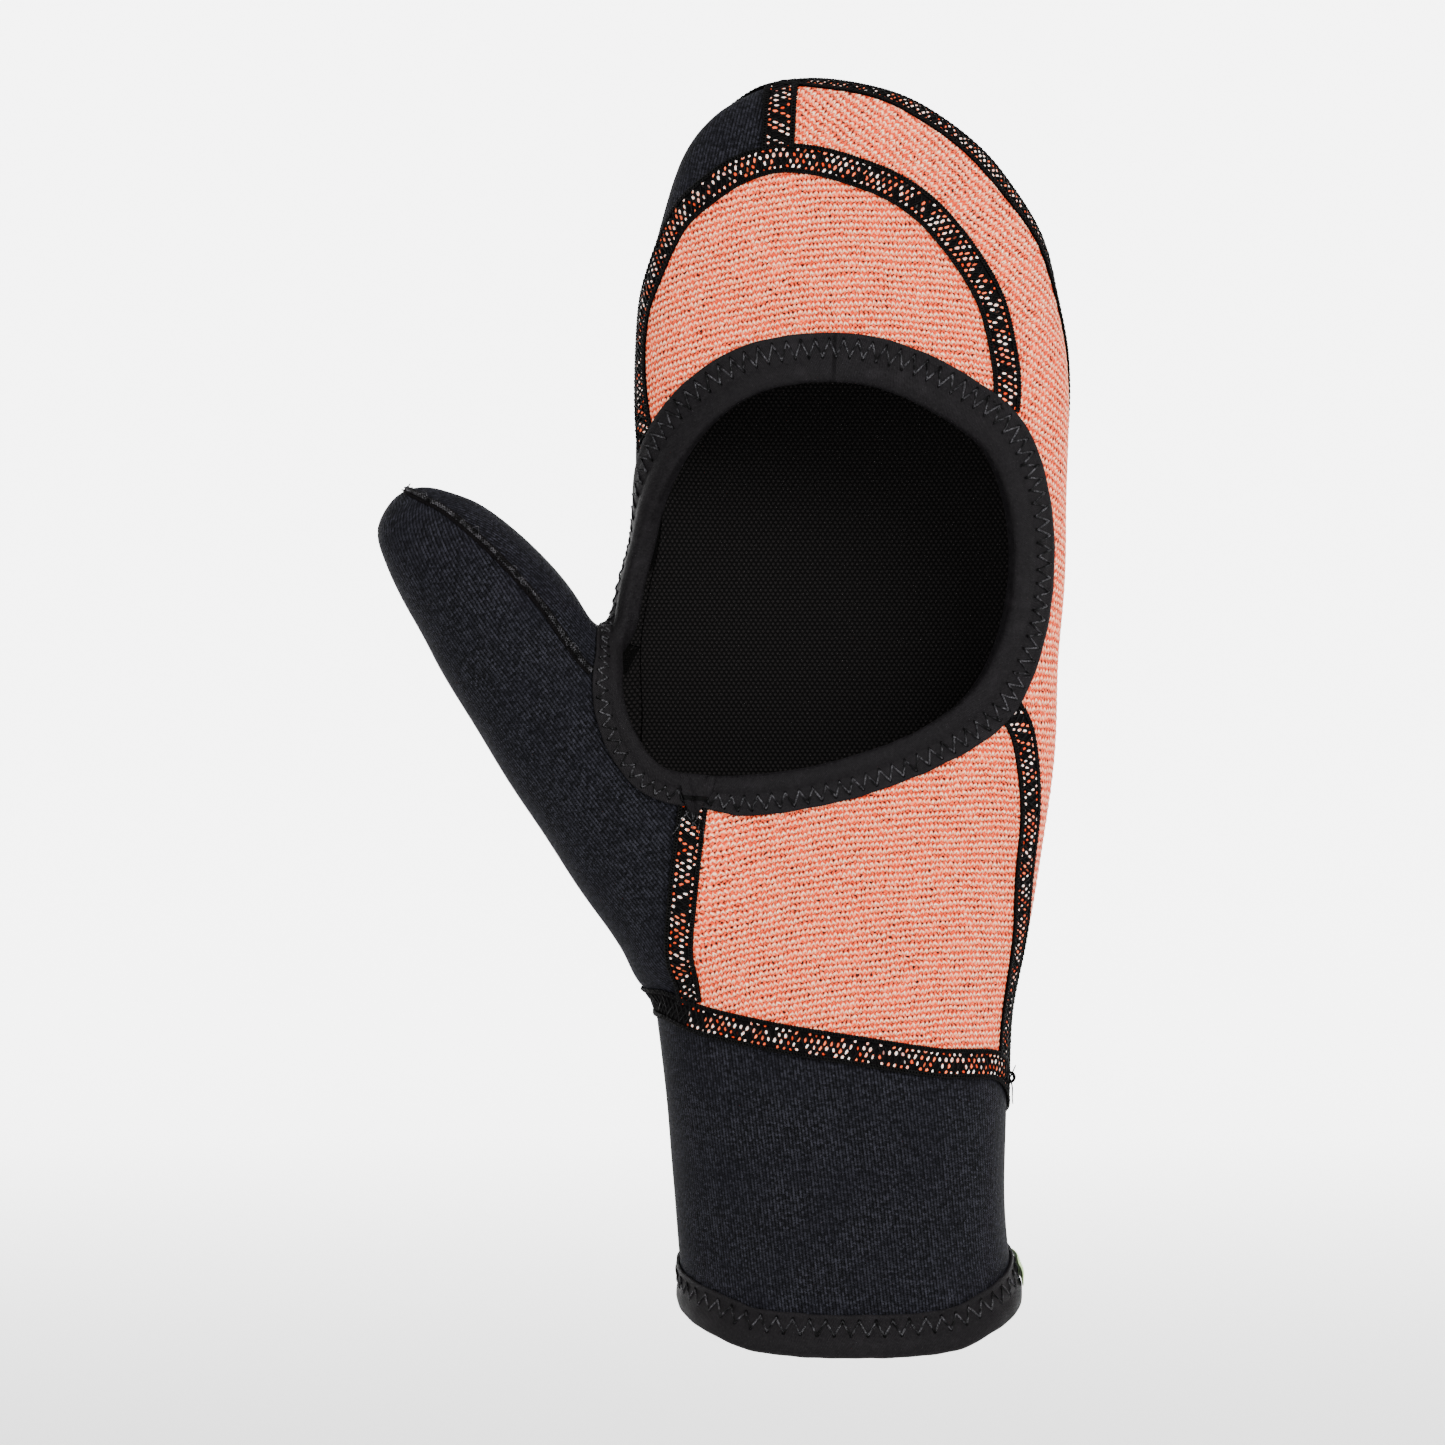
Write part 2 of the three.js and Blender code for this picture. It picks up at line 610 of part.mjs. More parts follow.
// Draws the outer rows of a grid in by a little, to leave a gap to the next panel
function drawIn(grid, distance) {
  const draw = (row, next) => row.forEach((p, k) => {
    p.copy(settle(p.clone().add(next[k].clone().sub(p).setLength(distance))));
  });
  const flip = (g) => g[0].map((_, j) => g.map((row) => row[j]));
  draw(grid[0], grid[1]);
  draw(grid[grid.length - 1], grid[grid.length - 2]);
  const turned = flip(grid);
  draw(turned[0], turned[1]);
  draw(turned[turned.length - 1], turned[turned.length - 2]);
  return grid;
}

const panel = (name, sides, material) => sheetSolid(name, drawIn(patchGrid(sides), PANEL_GAP / 2), -WALL, 0,
  material);

// The direction across a line on the cloth
function sideways(line, t) {
  const step = 0.5 / line.length;
  const p = line.at(t);
  const tangent = line.near(t + step).sub(line.near(t - step)).normalize();
  return tangent.cross(normalAt(p)).normalize();
}

// The share, from one end of a line, where the place beside it is first this far from another line
function clearOf(line, end, across, { other, distance }) {
  const steps = 500;
  for (let k = 0; k < steps / 2; k += 1) {
    const t = end === 0 ? k / steps : 1 - k / steps;
    const p = across === 0 ? line.at(t) : walk(line.at(t), sideways(line, t), across);
    if (other.near(nearest(other, p)).distanceTo(p) >= distance) return t;
  }
  return end;
}

// A flat stitched band over a seam, cut off along what it meets at either end
function band(name, line, width, pieces, start, finish, columns = 3) {
  const grid = [];
  const across = Array.from({ length: columns }, (_, k) => width * (k / (columns - 1) - 0.5));
  const from = across.map((k) => (start ? clearOf(line, 0, k, start) : 0));
  const to = across.map((k) => (finish ? clearOf(line, 1, k, finish) : 1));
  const share = evenShares(line.at);
  for (let i = 0; i < pieces + (line.closed ? 0 : 1); i += 1) {
    const s = share(i / pieces);
    grid.push(across.map((k, column) => {
      const t = from[column] + (to[column] - from[column]) * s;
      return k === 0 ? line.at(t) : walk(line.at(t), sideways(line, t), k);
    }));
  }
  return sheetSolid(name, grid, SEAM_CLEARANCE, SEAM_CLEARANCE + SEAM_THICKNESS, BLACK_THREAD, line.closed);
}

// A folded strip over a free edge. Its section is a U with an open mouth, at each step along a closed line.
function binding(name, line, outward, widthShare, pieces) {
  const points = [];
  const low = -WALL - BINDING_CLEARANCE;
  const outerLeg = [0, 0.5, 1];
  const innerLeg = [0, 0.5, 1];
  const nose = BINDING_CLEARANCE + BINDING_THICKNESS;
  const stations = evenShares(line.at);
  for (let i = 0; i < pieces; i += 1) {
    const t = stations(i / pieces);
    const edge = line.at(t);
    const side = sideways(line, t).multiplyScalar(outward);
    const share = widthShare(t);
    const outer = outerLeg.map((k) => walk(edge, side, k * BINDING_WIDTH * share));
    const inner = innerLeg.map((k) => walk(edge, side, k * BINDING_INNER_WIDTH * share));
    const n = normalAt(edge);
    const lift = (p, height) => p.clone().addScaledVector(normalAt(p), height);
    const beyond = (reach, height) => edge.clone().addScaledVector(side, -reach).addScaledVector(n, height);
    points.push(
      ...outer.map((p) => lift(p, BINDING_CLEARANCE + BINDING_THICKNESS)).reverse(),
      beyond(nose, 0),
      beyond(nose, -WALL),
      ...inner.map((p) => lift(p, low - BINDING_THICKNESS)),
      ...inner.map((p) => lift(p, low)).reverse(),
      beyond(BINDING_CLEARANCE, -WALL),
      beyond(BINDING_CLEARANCE, 0),
      ...outer.map((p) => lift(p, BINDING_CLEARANCE)),
    );
  }
  const around = points.length / pieces;
  const faces = [];
  for (let i = 0; i < pieces; i += 1) {
    const here = i * around;
    const next = ((i + 1) % pieces) * around;
    for (let j = 0; j < around; j += 1) {
      const k = (j + 1) % around;
      faces.push([here + j, next + j, next + k], [here + j, next + k, here + k]);
    }
  }
  return meshOf(name, points, faces, BLACK_BINDING);
}

// A short tab laid over a binding, across its width. reach and width are where each row lies and how wide it is.
function tab(name, line, t, outward, rows, low, high, material) {
  const side = sideways(line, t).multiplyScalar(outward);
  const edge = line.at(t);
  const along = side.clone().cross(normalAt(edge)).normalize();
  const grid = rows.map(({ reach, width }) => {
    const p = walk(edge, side, reach);
    return [-0.5, -0.25, 0, 0.25, 0.5].map((k) => walk(p, along, k * width));
  });
  return sheetSolid(name, grid, low, high, material);
}

// The lines themselves

const onto = (line) => (p) => line.at(nearest(line, p));
const hole = lineThrough(PALM_HOLE, true);
const wristSeam = lineThrough(WRIST_SEAM, true);
const hem = lineThrough(HEM, true);
const backSeam = lineThrough(BACK_SEAM, false, onto(wristSeam), onto(wristSeam));
const tipSeam = lineThrough(TIP_SEAM, false, onto(hole), onto(hole));
const splitSeam = lineThrough(SPLIT_SEAM, false, onto(tipSeam), onto(backSeam));
const sideSeam = lineThrough(SIDE_SEAM, false, onto(hole), onto(wristSeam));
const heelSeam = lineThrough(HEEL_SEAM, false, onto(hole), onto(wristSeam));
const webSeam = lineThrough(WEB_SEAM, false, onto(hole), onto(backSeam));
const thumbSeam = lineThrough(THUMB_SEAM, false, onto(hole), () => webSeam.at(1));
const cuffSeam = lineThrough(CUFF_SEAM, false, onto(wristSeam), onto(hem));

// Shares of their lengths where they meet
const holeAt = {
  tipLeft: nearest(hole, tipSeam.at(0)),
  tipRight: nearest(hole, tipSeam.at(1)),
  side: nearest(hole, sideSeam.at(0)),
  heel: nearest(hole, heelSeam.at(0)),
  thumb: nearest(hole, thumbSeam.at(0)),
  web: nearest(hole, webSeam.at(0)),
};
const wristAt = {
  heel: nearest(wristSeam, heelSeam.at(1)),
  side: nearest(wristSeam, sideSeam.at(1)),
  backRight: nearest(wristSeam, backSeam.at(1)),
  backLeft: nearest(wristSeam, backSeam.at(0)),
  cuff: nearest(wristSeam, cuffSeam.at(0)),
};
const backAt = {
  split: nearest(backSeam, splitSeam.at(1)),
  web: nearest(backSeam, webSeam.at(1)),
  leftShoulder: nearest(backSeam, place({ across: -0.7, up: 0.919, depth: 0.06 })),
  rightShoulder: nearest(backSeam, place({ across: 0.768, up: 0.895, depth: -0.42 })),
};
const tipAt = {
  split: nearest(tipSeam, splitSeam.at(0)),
  leftShoulder: nearest(tipSeam, place({ across: -0.83, up: 0.857, depth: PALM })),
  rightShoulder: nearest(tipSeam, place({ across: 0.584, up: 0.837, depth: PALM })),
};
const thumbAt = {
  front: nearest(thumbSeam, place({ along: 0.867, across: 0.381, depth: PALM })),
  back: nearest(thumbSeam, place({ along: 0.9, across: 0.2, depth: BACK })),
};

// Goes round a closed line the way that its points run
const onward = (line, from, to) => stretch(line, from, to > from ? to : to + 1);

function panels() {
  const fingerPalm = {
    bottom: onward(hole, holeAt.tipLeft, holeAt.tipRight),
    left: stretch(tipSeam, 0, tipAt.leftShoulder),
    top: stretch(tipSeam, tipAt.leftShoulder, tipAt.rightShoulder),
    right: reversed(stretch(tipSeam, tipAt.rightShoulder, 1)),
    across: 14,
    up: 8,
  };
  const indexSide = {
    left: reversed(chain(stretch(tipSeam, tipAt.split, 0), reversed(onward(hole, holeAt.web, holeAt.tipLeft)))),
    right: reversed(stretch(backSeam, backAt.split, backAt.web)),
    bottom: webSeam.at,
    top: splitSeam.at,
    across: 5,
    up: 20,
  };
  const outerSide = {
    left: reversed(chain(
      stretch(tipSeam, tipAt.split, 1),
      onward(hole, holeAt.tipRight, holeAt.side),
      stretch(sideSeam, 0, 1),
    )),
    right: reversed(stretch(backSeam, backAt.split, 1)),
    bottom: onward(wristSeam, wristAt.side, wristAt.backRight),
    top: splitSeam.at,
    across: 5,
    up: 34,
  };
  const palmHeel = {
    bottom: onward(wristSeam, wristAt.heel, wristAt.side),
    top: reversed(onward(hole, holeAt.side, holeAt.heel)),
    left: reversed(heelSeam.at),
    right: reversed(sideSeam.at),
    across: 11,
    up: 9,
  };
  const back = {
    bottom: reversed(onward(wristSeam, wristAt.backRight, wristAt.backLeft)),
    left: stretch(backSeam, 0, backAt.leftShoulder),
    top: stretch(backSeam, backAt.leftShoulder, backAt.rightShoulder),
    right: reversed(stretch(backSeam, backAt.rightShoulder, 1)),
    crown: new THREE.Vector3(0, HALF_DEPTH / 2, 0),
    across: 12,
    up: 20,
  };
  const thumbFront = chain(
    stretch(thumbSeam, thumbAt.front, 0),
    reversed(onward(hole, holeAt.heel, holeAt.thumb)),
    heelSeam.at,
  );
  const thumbOuter = {
    left: reversed(thumbFront),
    right: reversed(chain(stretch(thumbSeam, thumbAt.back, 1), stretch(backSeam, backAt.web, 0))),
    top: stretch(thumbSeam, thumbAt.front, thumbAt.back),
    bottom: reversed(onward(wristSeam, wristAt.backLeft, wristAt.heel)),
    crown: thumbAcross.clone().multiplyScalar(-THUMB_WIDTH * 0.85),
    crowd: 0.9,
    across: 14,
    up: 21,
  };
  const thumbInner = {
    left: stretch(thumbSeam, 0, thumbAt.front),
    right: stretch(thumbSeam, 1, thumbAt.back),
    top: stretch(thumbSeam, thumbAt.front, thumbAt.back),
    bottom: chain(onward(hole, holeAt.thumb, holeAt.web), webSeam.at),
    crown: thumbAcross.clone().multiplyScalar(THUMB_WIDTH * 0.2),
    crowd: 0.7,
    across: 13,
    up: 10,
  };
  const cuff = {
    top: stretch(wristSeam, wristAt.cuff, wristAt.cuff + 1),
    bottom: stretch(hem, nearest(hem, cuffSeam.at(1)), nearest(hem, cuffSeam.at(1)) + 1),
    left: reversed(cuffSeam.at),
    right: reversed(cuffSeam.at),
    across: 40,
    up: 5,
  };
  return [
    panel('finger_palm_panel', fingerPalm, SALMON_KNIT),
    panel('index_side_panel', indexSide, NAVY_JERSEY),
    panel('outer_side_panel', outerSide, SALMON_KNIT),
    panel('palm_heel_panel', palmHeel, SALMON_KNIT),
    panel('back_panel', back, SALMON_KNIT),
    panel('thumb_outer_panel', thumbOuter, NAVY_JERSEY),
    panel('thumb_inner_panel', thumbInner, NAVY_JERSEY),
    panel('cuff', cuff, NAVY_JERSEY),
  ];
}

// The binding is narrower where it turns in along the thumb's root
function holeWidthShare(t) {
  const from = holeAt.heel;
  const to = holeAt.web;
  const middle = (from + to) / 2;
  const reach = (to - from) / 2 + 0.06;
  const away = Math.min(Math.abs(t - middle), 1 - Math.abs(t - middle)) / reach;
  const ease = THREE.MathUtils.smoothstep(away, 0.55, 1);
  return THUMB_SIDE_BINDING_SHARE + (1 - THUMB_SIDE_BINDING_SHARE) * ease;
}

function seams() {
  const bySeam = (other) => ({ other, distance: SEAM_WIDTH / 2 + SEAM_CLEARANCE });
  const byHole = { other: hole, distance: BINDING_WIDTH + SEAM_CLEARANCE };
  const byHeel = { other: hole, distance: BINDING_WIDTH * holeWidthShare(holeAt.heel) + SEAM_CLEARANCE };
  const byHem = { other: hem, distance: BINDING_WIDTH * HEM_BINDING_SHARE + SEAM_CLEARANCE };
  const byThumb = { other: hole, distance: BINDING_WIDTH * THUMB_SIDE_BINDING_SHARE + SEAM_WIDTH / 3 };
  const byWeb = { other: backSeam, distance: SEAM_WIDTH * 2 };
  return [
    band('tip_seam', tipSeam, SEAM_WIDTH, 36, byHole, byHole),
    band('split_seam', splitSeam, SEAM_WIDTH, 4, bySeam(tipSeam), bySeam(backSeam)),
    band('back_seam', backSeam, SEAM_WIDTH, 66, bySeam(wristSeam), bySeam(wristSeam)),
    band('side_seam', sideSeam, SEAM_WIDTH, 12, byHole, bySeam(wristSeam)),
    band('heel_seam', heelSeam, SEAM_WIDTH, 8, byHeel, bySeam(wristSeam)),
    band('wrist_seam', wristSeam, SEAM_WIDTH, 44),
    band('thumb_seam', thumbSeam, THUMB_SEAM_WIDTH, 30, byThumb, byWeb),
    band('cuff_seam', cuffSeam, SEAM_WIDTH, 4, bySeam(wristSeam), byHem),
  ];
}

const OVER_BINDING = BINDING_CLEARANCE + BINDING_THICKNESS + 0.3;

function bindingFlap() {
  const rows = [
    { reach: 0.5, width: FLAP_WIDTH },
    { reach: BINDING_WIDTH * 0.4, width: FLAP_WIDTH * 0.8 },
    { reach: BINDING_WIDTH * 0.75, width: FLAP_WIDTH * 0.45 },
    { reach: BINDING_WIDTH, width: FLAP_WIDTH * 0.12 },
  ];
  return tab('binding_flap', hole, holeAt.heel, -1, rows, OVER_BINDING, OVER_BINDING + FLAP_THICKNESS,
    BLACK_BINDING);
}

function hemLabel() {
  const t = nearest(hem, place({ across: 0.81, up: -0.034, depth: 0.12 }));
  const rows = [0.12, 0.45, 0.8].map((k) => (
    { reach: BINDING_WIDTH * HEM_BINDING_SHARE * k, width: LABEL_WIDTH }
  ));
  return tab('hem_label', hem, t, -1, rows, OVER_BINDING, OVER_BINDING + LABEL_THICKNESS, PALE_LABEL);
}

const glove = new THREE.Group();
glove.add(
  ...panels(),
  ...seams(),
  bindingFlap(),
  hemLabel(),
  binding('palm_binding', hole, -1, holeWidthShare, 64),
  binding('hem_binding', hem, -1, () => HEM_BINDING_SHARE, 34),
);

export default glove;
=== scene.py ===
import math

import bpy
import numpy as np
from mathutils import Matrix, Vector


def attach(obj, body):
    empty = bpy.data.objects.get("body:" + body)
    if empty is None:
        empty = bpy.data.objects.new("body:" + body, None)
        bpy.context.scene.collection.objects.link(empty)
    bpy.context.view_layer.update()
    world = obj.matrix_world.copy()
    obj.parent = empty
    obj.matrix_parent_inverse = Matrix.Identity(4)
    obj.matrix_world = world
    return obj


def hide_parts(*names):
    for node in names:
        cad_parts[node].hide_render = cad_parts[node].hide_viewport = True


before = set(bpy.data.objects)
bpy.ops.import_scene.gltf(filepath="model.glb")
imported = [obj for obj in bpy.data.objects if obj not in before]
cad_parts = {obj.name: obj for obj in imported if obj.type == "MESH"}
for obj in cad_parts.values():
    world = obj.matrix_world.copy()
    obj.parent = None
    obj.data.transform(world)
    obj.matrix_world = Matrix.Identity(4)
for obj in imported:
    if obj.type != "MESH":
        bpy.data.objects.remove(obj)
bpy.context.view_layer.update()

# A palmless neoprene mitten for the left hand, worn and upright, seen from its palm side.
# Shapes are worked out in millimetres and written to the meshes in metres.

# Overall sizes of the filled mitten, outside the cloth
MITT_LENGTH = 261.5
HALF_WIDTH = 48.6
HALF_DEPTH = 24.0
THUMB_LENGTH = 136.0
HALF_THUMB = 17.5
THUMB_DEPTH_RATIO = 31.0 / 35.0
THUMB_SPREAD = math.radians(31.4)
THUMB_ROOT = np.array([-0.529 * HALF_WIDTH, 0.0, 0.2085 * MITT_LENGTH])
HAND_POWER = 2.3
THUMB_POWER = 2.1
WEB_BLEND = 9.0

# The neoprene, its seams and its edge binding
WALL = 2.5
PANEL_GAP = 0.4
RIB_PITCH = 1.45
RIB_RELIEF = 0.15
SEAM_WIDTH = 6.6
SEAM_BED = 0.2
DOT_PITCH = 1.45
LATTICE_WIDTH = 4.0
BINDING_WIDTH = 9.6
BINDING_INNER_WIDTH = 6.0
HEM_BINDING_SHARE = 0.86
THUMB_SIDE_BINDING_SHARE = 0.62
ZIGZAG_PITCH = 3.7
ZIGZAG_WIDTH = 3.8
ZIGZAG_REACH = 0.64
PALM_ZIGZAG_PITCH = 3.1
RIDGE_WIDTH = 2.2

# The fabrics' stitches: across the rows, and along them or from row to row
STITCH_PITCH = 1.04
WALE_PITCH, COURSE_PITCH = 0.78, 0.55
MESH_PITCH, MESH_ROW = 1.15, 0.86
DOT_RANK = 1.333

# How finely the meshes are made: fine cells to a coarse one, columns of a bed, sides of a thread, steps
FINER = 4
BED_COLUMNS = 9
THREAD_SIDES = 5

BED_STEP, RAIL_STEP = 1.1, 0.7
TAPE_STEP, ZIGZAG_STEP = 0.8, 0.6

# Heights of a seam's bed over the cloth, at its edges and underneath
BED_EDGE, BED_UNDER = 0.24, 0.14

# How far beside a rail the fall of the cloth is read
FALL_REACH = 2.6

MM = 0.001
HALF_TURN, TWO_TURNS = 3.1416, 12.566

# How far the camera is and how much it sees, in metres
CAMERA_AWAY, VIEW_WIDTH = 1.4, 0.323

PALM, BACK = -1.0, 1.0

# Sections of the hand, from the hem to the fingertips: up as a share of MITT_LENGTH, centre and half as
# shares of HALF_WIDTH, flat as a share of the hand's usual flatness and lean as a share of HALF_DEPTH
HAND_ROWS = [
    (-0.085, 0.032, 0.773, 1.41, 0), (-0.043, 0.023, 0.773, 1.41, 0), (0, -0.007, 0.761, 1.42, 0),
    (0.077, -0.028, 0.777, 1.36, 0), (0.154, -0.048, 0.798, 1.3, 0), (0.214, -0.048, 0.83, 1.23, 0.01),
    (0.282, -0.041, 0.901, 1.12, 0.02), (0.359, -0.046, 0.98, 1.02, 0.03),
    (0.436, -0.057, 1.032, 0.948, 0.04), (0.513, -0.051, 1.049, 0.913, 0.04),
    (0.564, -0.011, 1.028, 0.915, 0.03), (0.615, 0.03, 1, 0.908, 0.01),
    (0.692, 0.037, 0.998, 0.86, -0.03), (0.769, 0.037, 0.989, 0.81, -0.1),
    (0.821, 0.021, 0.95, 0.79, -0.16), (0.872, 0.014, 0.874, 0.777, -0.22),
    (0.923, -0.032, 0.736, 0.8, -0.28), (0.949, -0.062, 0.632, 0.824, -0.31),
    (0.974, -0.092, 0.483, 0.86, -0.34), (0.987, -0.108, 0.352, 0.876, -0.35),
    (1, -0.156, 0, 0.88, -0.36),
]

# Sections of the thumb, from its root: up as a share of THUMB_LENGTH, centre and half as shares of
# HALF_THUMB, flat as a share of THUMB_DEPTH_RATIO and lean as a share of HALF_DEPTH
THUMB_ROWS = [
    (0, 0.68, 0, 0.75, -0.05), (0.033, 0.67, 0.8, 0.75, -0.06), (0.074, 0.66, 1.2, 0.77, -0.08),
    (0.111, 0.64, 1.42, 0.78, -0.1), (0.169, 0.61, 1.42, 0.82, -0.13), (0.295, 0.41, 1.29, 0.88, -0.2),
    (0.41, 0.3, 1.21, 0.93, -0.25), (0.525, 0.16, 1.09, 0.98, -0.3), (0.618, 0.07, 1, 1, -0.33),
    (0.718, 0.06, 0.977, 1, -0.37), (0.78, 0.04, 0.931, 1, -0.39), (0.8475, -0.01, 0.857, 1, -0.42),
    (0.918, -0.09, 0.709, 1, -0.45), (0.969, -0.18, 0.491, 1, -0.47), (1, -0.155, 0, 1, -0.48),
]

# The lines of the seams and edges: across as a share of HALF_WIDTH, up of MITT_LENGTH and depth of
# HALF_DEPTH, near where the line lies. Without a depth, or with BACK, it is found from that side.
PALM_HOLE = [
    (-0.046, 0.745), (0.184, 0.738), (0.46, 0.714), (0.667, 0.684), (0.773, 0.637), (0.8, 0.581),
    (0.74, 0.521), (0.602, 0.475), (0.368, 0.442), (0.009, 0.416), (-0.336, 0.403), (-0.644, 0.401),
    (-0.862, 0.41), (-0.978, 0.437), (-1.045, 0.474), (-1.05, 0.513), (-1.005, 0.556), (-0.942, 0.607),
    (-0.846, 0.656), (-0.653, 0.706), (-0.391, 0.737),
]
TIP_SEAM = [
    (-0.84, 0.653), (-0.914, 0.688, -0.36), (-0.945, 0.731, -0.27), (-0.945, 0.769, -0.26),
    (-0.924, 0.807, -0.33), (-0.885, 0.832, -0.42), (-0.83, 0.857), (-0.763, 0.881), (-0.607, 0.907),
    (-0.483, 0.921), (-0.317, 0.93), (-0.138, 0.928), (0.037, 0.919), (0.212, 0.906), (0.363, 0.887),
    (0.478, 0.864), (0.584, 0.837), (0.667, 0.808), (0.717, 0.772), (0.74, 0.733), (0.69, 0.676),
]
SPLIT_SEAM = [(-0.313, 0.93), (-0.304, 0.962), (-0.276, 0.992, -0.4)]
BACK_SEAM = [
    (-0.76, 0.196, 0.62), (-0.86, 0.265, 0.66), (-0.934, 0.333, 0.66), (-0.989, 0.402, 0.66),
    (-1, 0.462, 0.64), (-1, 0.513, 0.6), (-0.97, 0.565, 0.56), (-0.93, 0.624, 0.52), (-0.91, 0.692, 0.46),
    (-0.9, 0.761, 0.36), (-0.87, 0.821, 0.26), (-0.8, 0.876, 0.16), (-0.7, 0.919, 0.06),
    (-0.57, 0.953, -0.06), (-0.42, 0.979, -0.2), (-0.253, 0.995, -0.4), (-0.069, 0.995, -0.5),
    (0.161, 0.986, -0.53), (0.345, 0.971, -0.54), (0.529, 0.948, -0.52), (0.667, 0.922, -0.48),
    (0.768, 0.895, -0.42), (0.86, 0.868, -0.34), (0.929, 0.838, -0.24), (0.98, 0.803, -0.1),
    (1.01, 0.752, 0.1), (1.0, 0.684, 0.28), (0.98, 0.598, 0.42), (0.95, 0.513, 0.52), (0.91, 0.427, 0.56),
    (0.86, 0.342, 0.54), (0.81, 0.274, 0.46), (0.77, 0.214, 0.32), (0.745, 0.162, 0.14),
    (0.735, 0.124, 0.05),
]
SIDE_SEAM = [
    (0.644, 0.484), (0.796, 0.449), (0.84, 0.412), (0.85, 0.369), (0.83, 0.316, -0.45),
    (0.795, 0.265, -0.35), (0.765, 0.214, -0.28), (0.735, 0.159, -0.25),
]
HEEL_SEAM = [
    (-0.681, 0.402), (-0.704, 0.373), (-0.745, 0.305), (-0.759, 0.249), (-0.704, 0.201),
]
WRIST_SEAM = [
    (-0.885, 0.2135, 0), (-0.84, 0.21, -0.4), (-0.704, 0.2), (-0.327, 0.184), (0.041, 0.173),
    (0.414, 0.162), (0.7, 0.156, -0.4), (0.754, 0.135, 0), (0.72, 0.123, 0.4), (0.4, 0.118, BACK),
    (0, 0.12, BACK), (-0.4, 0.145, BACK), (-0.72, 0.189, 0.7), (-0.84, 0.209, 0.4),
]
HEM = [
    (-0.75, -0.044, 0), (-0.7, -0.056, -0.45), (-0.6, -0.067, -0.8), (-0.45, -0.076), (-0.2, -0.081),
    (0.04, -0.082), (0.28, -0.081), (0.52, -0.076), (0.68, -0.065, -0.8), (0.78, -0.052, -0.45),
    (0.81, -0.036, 0), (0.74, -0.024, 0.6), (0.5, -0.015, BACK), (0, -0.012, BACK), (-0.5, -0.018, BACK),
    (-0.69, -0.03, 0.6),
]
WEB_SEAM = [(-1.03, 0.524), (-1.05, 0.523, -0.35), (-1.05, 0.521, 0), (-1.03, 0.519, 0.35), (-1, 0.517, 0.6)]
CUFF_SEAM = [(0.66, 0.12, 0.6), (0.66, -0.006, 0.6)]

# The thumb's seam: along as a share of THUMB_LENGTH from the root, across of HALF_THUMB and depth of
# HALF_DEPTH
THUMB_SEAM = [
    (0.55, 0.9), (0.59, 0.71), (0.63, 0.661), (0.716, 0.62), (0.793, 0.521), (0.867, 0.381), (0.943, 0.172),
    (0.975, 0.02, -0.75), (0.99, -0.08, -0.6), (0.99, -0.08, -0.35), (0.96, 0.05, -0.1), (0.9, 0.2, BACK),
    (0.8, 0.38, BACK), (0.7, 0.52, BACK), (0.62, 0.75, BACK), (0.565, 1.08, 0.6),
]

THUMB_ALONG = np.array([-math.sin(THUMB_SPREAD), 0, math.cos(THUMB_SPREAD)])
THUMB_ACROSS = np.array([math.cos(THUMB_SPREAD), 0, math.sin(THUMB_SPREAD)])


# The shape of the hand and thumb, as a field that is zero on the outside of the cloth

class Sections:
    def __init__(self, rows):
        table = np.array(rows, dtype=float)
        self.up, self.values = table[:, 0], table[:, 1:]
        self.values[:, 1] **= 2
        last = len(self.up) - 1
        before = np.maximum(np.arange(last + 1) - 1, 0)
        after = np.minimum(np.arange(last + 1) + 1, last)
        self.slopes = (self.values[after] - self.values[before]) / (self.up[after] - self.up[before])[:, None]

    def read(self, at):
        last = len(self.up) - 1
        i = np.clip(np.searchsorted(self.up, at) - 1, 0, last - 1)
        step = self.up[i + 1] - self.up[i]
        t = np.clip((at - self.up[i]) / step, 0, 1)
        u = 1 - t
        values, slopes = self.values, self.slopes
        inside = (((1 + 2 * t) * u * u)[:, None] * values[i] + (t * u * u * step)[:, None] * slopes[i]
                  + (t * t * (3 - 2 * t))[:, None] * values[i + 1]
                  - (t * t * u * step)[:, None] * slopes[i + 1])
        past = np.minimum(at - self.up[0], 0)[:, None] * slopes[0] \
            + np.maximum(at - self.up[last], 0)[:, None] * slopes[last]
        return inside + past


HAND = Sections(HAND_ROWS)
THUMB = Sections(THUMB_ROWS)


def round_field(sections, at, across, depth, half, flatness, power):
    read = sections.read(at)
    side = np.abs(across - read[:, 0] * half)
    front = np.abs((depth - read[:, 3] * HALF_DEPTH) / (read[:, 2] * flatness))
    radius = (side ** power + front ** power) ** (1 / power)
    return (radius ** 2 - read[:, 1] * half * half) / (2 * half)


def softness(p):
    """The slight unevenness of stuffed neoprene."""
    x, y, z = p.T
    return 0.22 * (np.sin(x / 9.1 + z / 14.3 + 0.7) * np.sin(z / 11.7 - y / 8.3 + 1.9)
                   + 0.7 * np.sin(x / 5.7 - z / 19.0 + 2.1) * np.sin(z / 7.9 + y / 6.1))


def field(points):
    p = points.reshape(-1, 3)
    hand = round_field(HAND, p[:, 2] / MITT_LENGTH, p[:, 0], p[:, 1], HALF_WIDTH,
                       HALF_DEPTH / HALF_WIDTH, HAND_POWER)
    q = p - THUMB_ROOT
    thumb = round_field(THUMB, (q @ THUMB_ALONG) / THUMB_LENGTH, q @ THUMB_ACROSS, p[:, 1], HALF_THUMB,
                        THUMB_DEPTH_RATIO, THUMB_POWER)
    mix = np.maximum(WEB_BLEND - np.abs(hand - thumb), 0) / WEB_BLEND
    whole = np.minimum(hand, thumb) - mix * mix * WEB_BLEND / 4
    return (whole + softness(p)).reshape(points.shape[:-1])


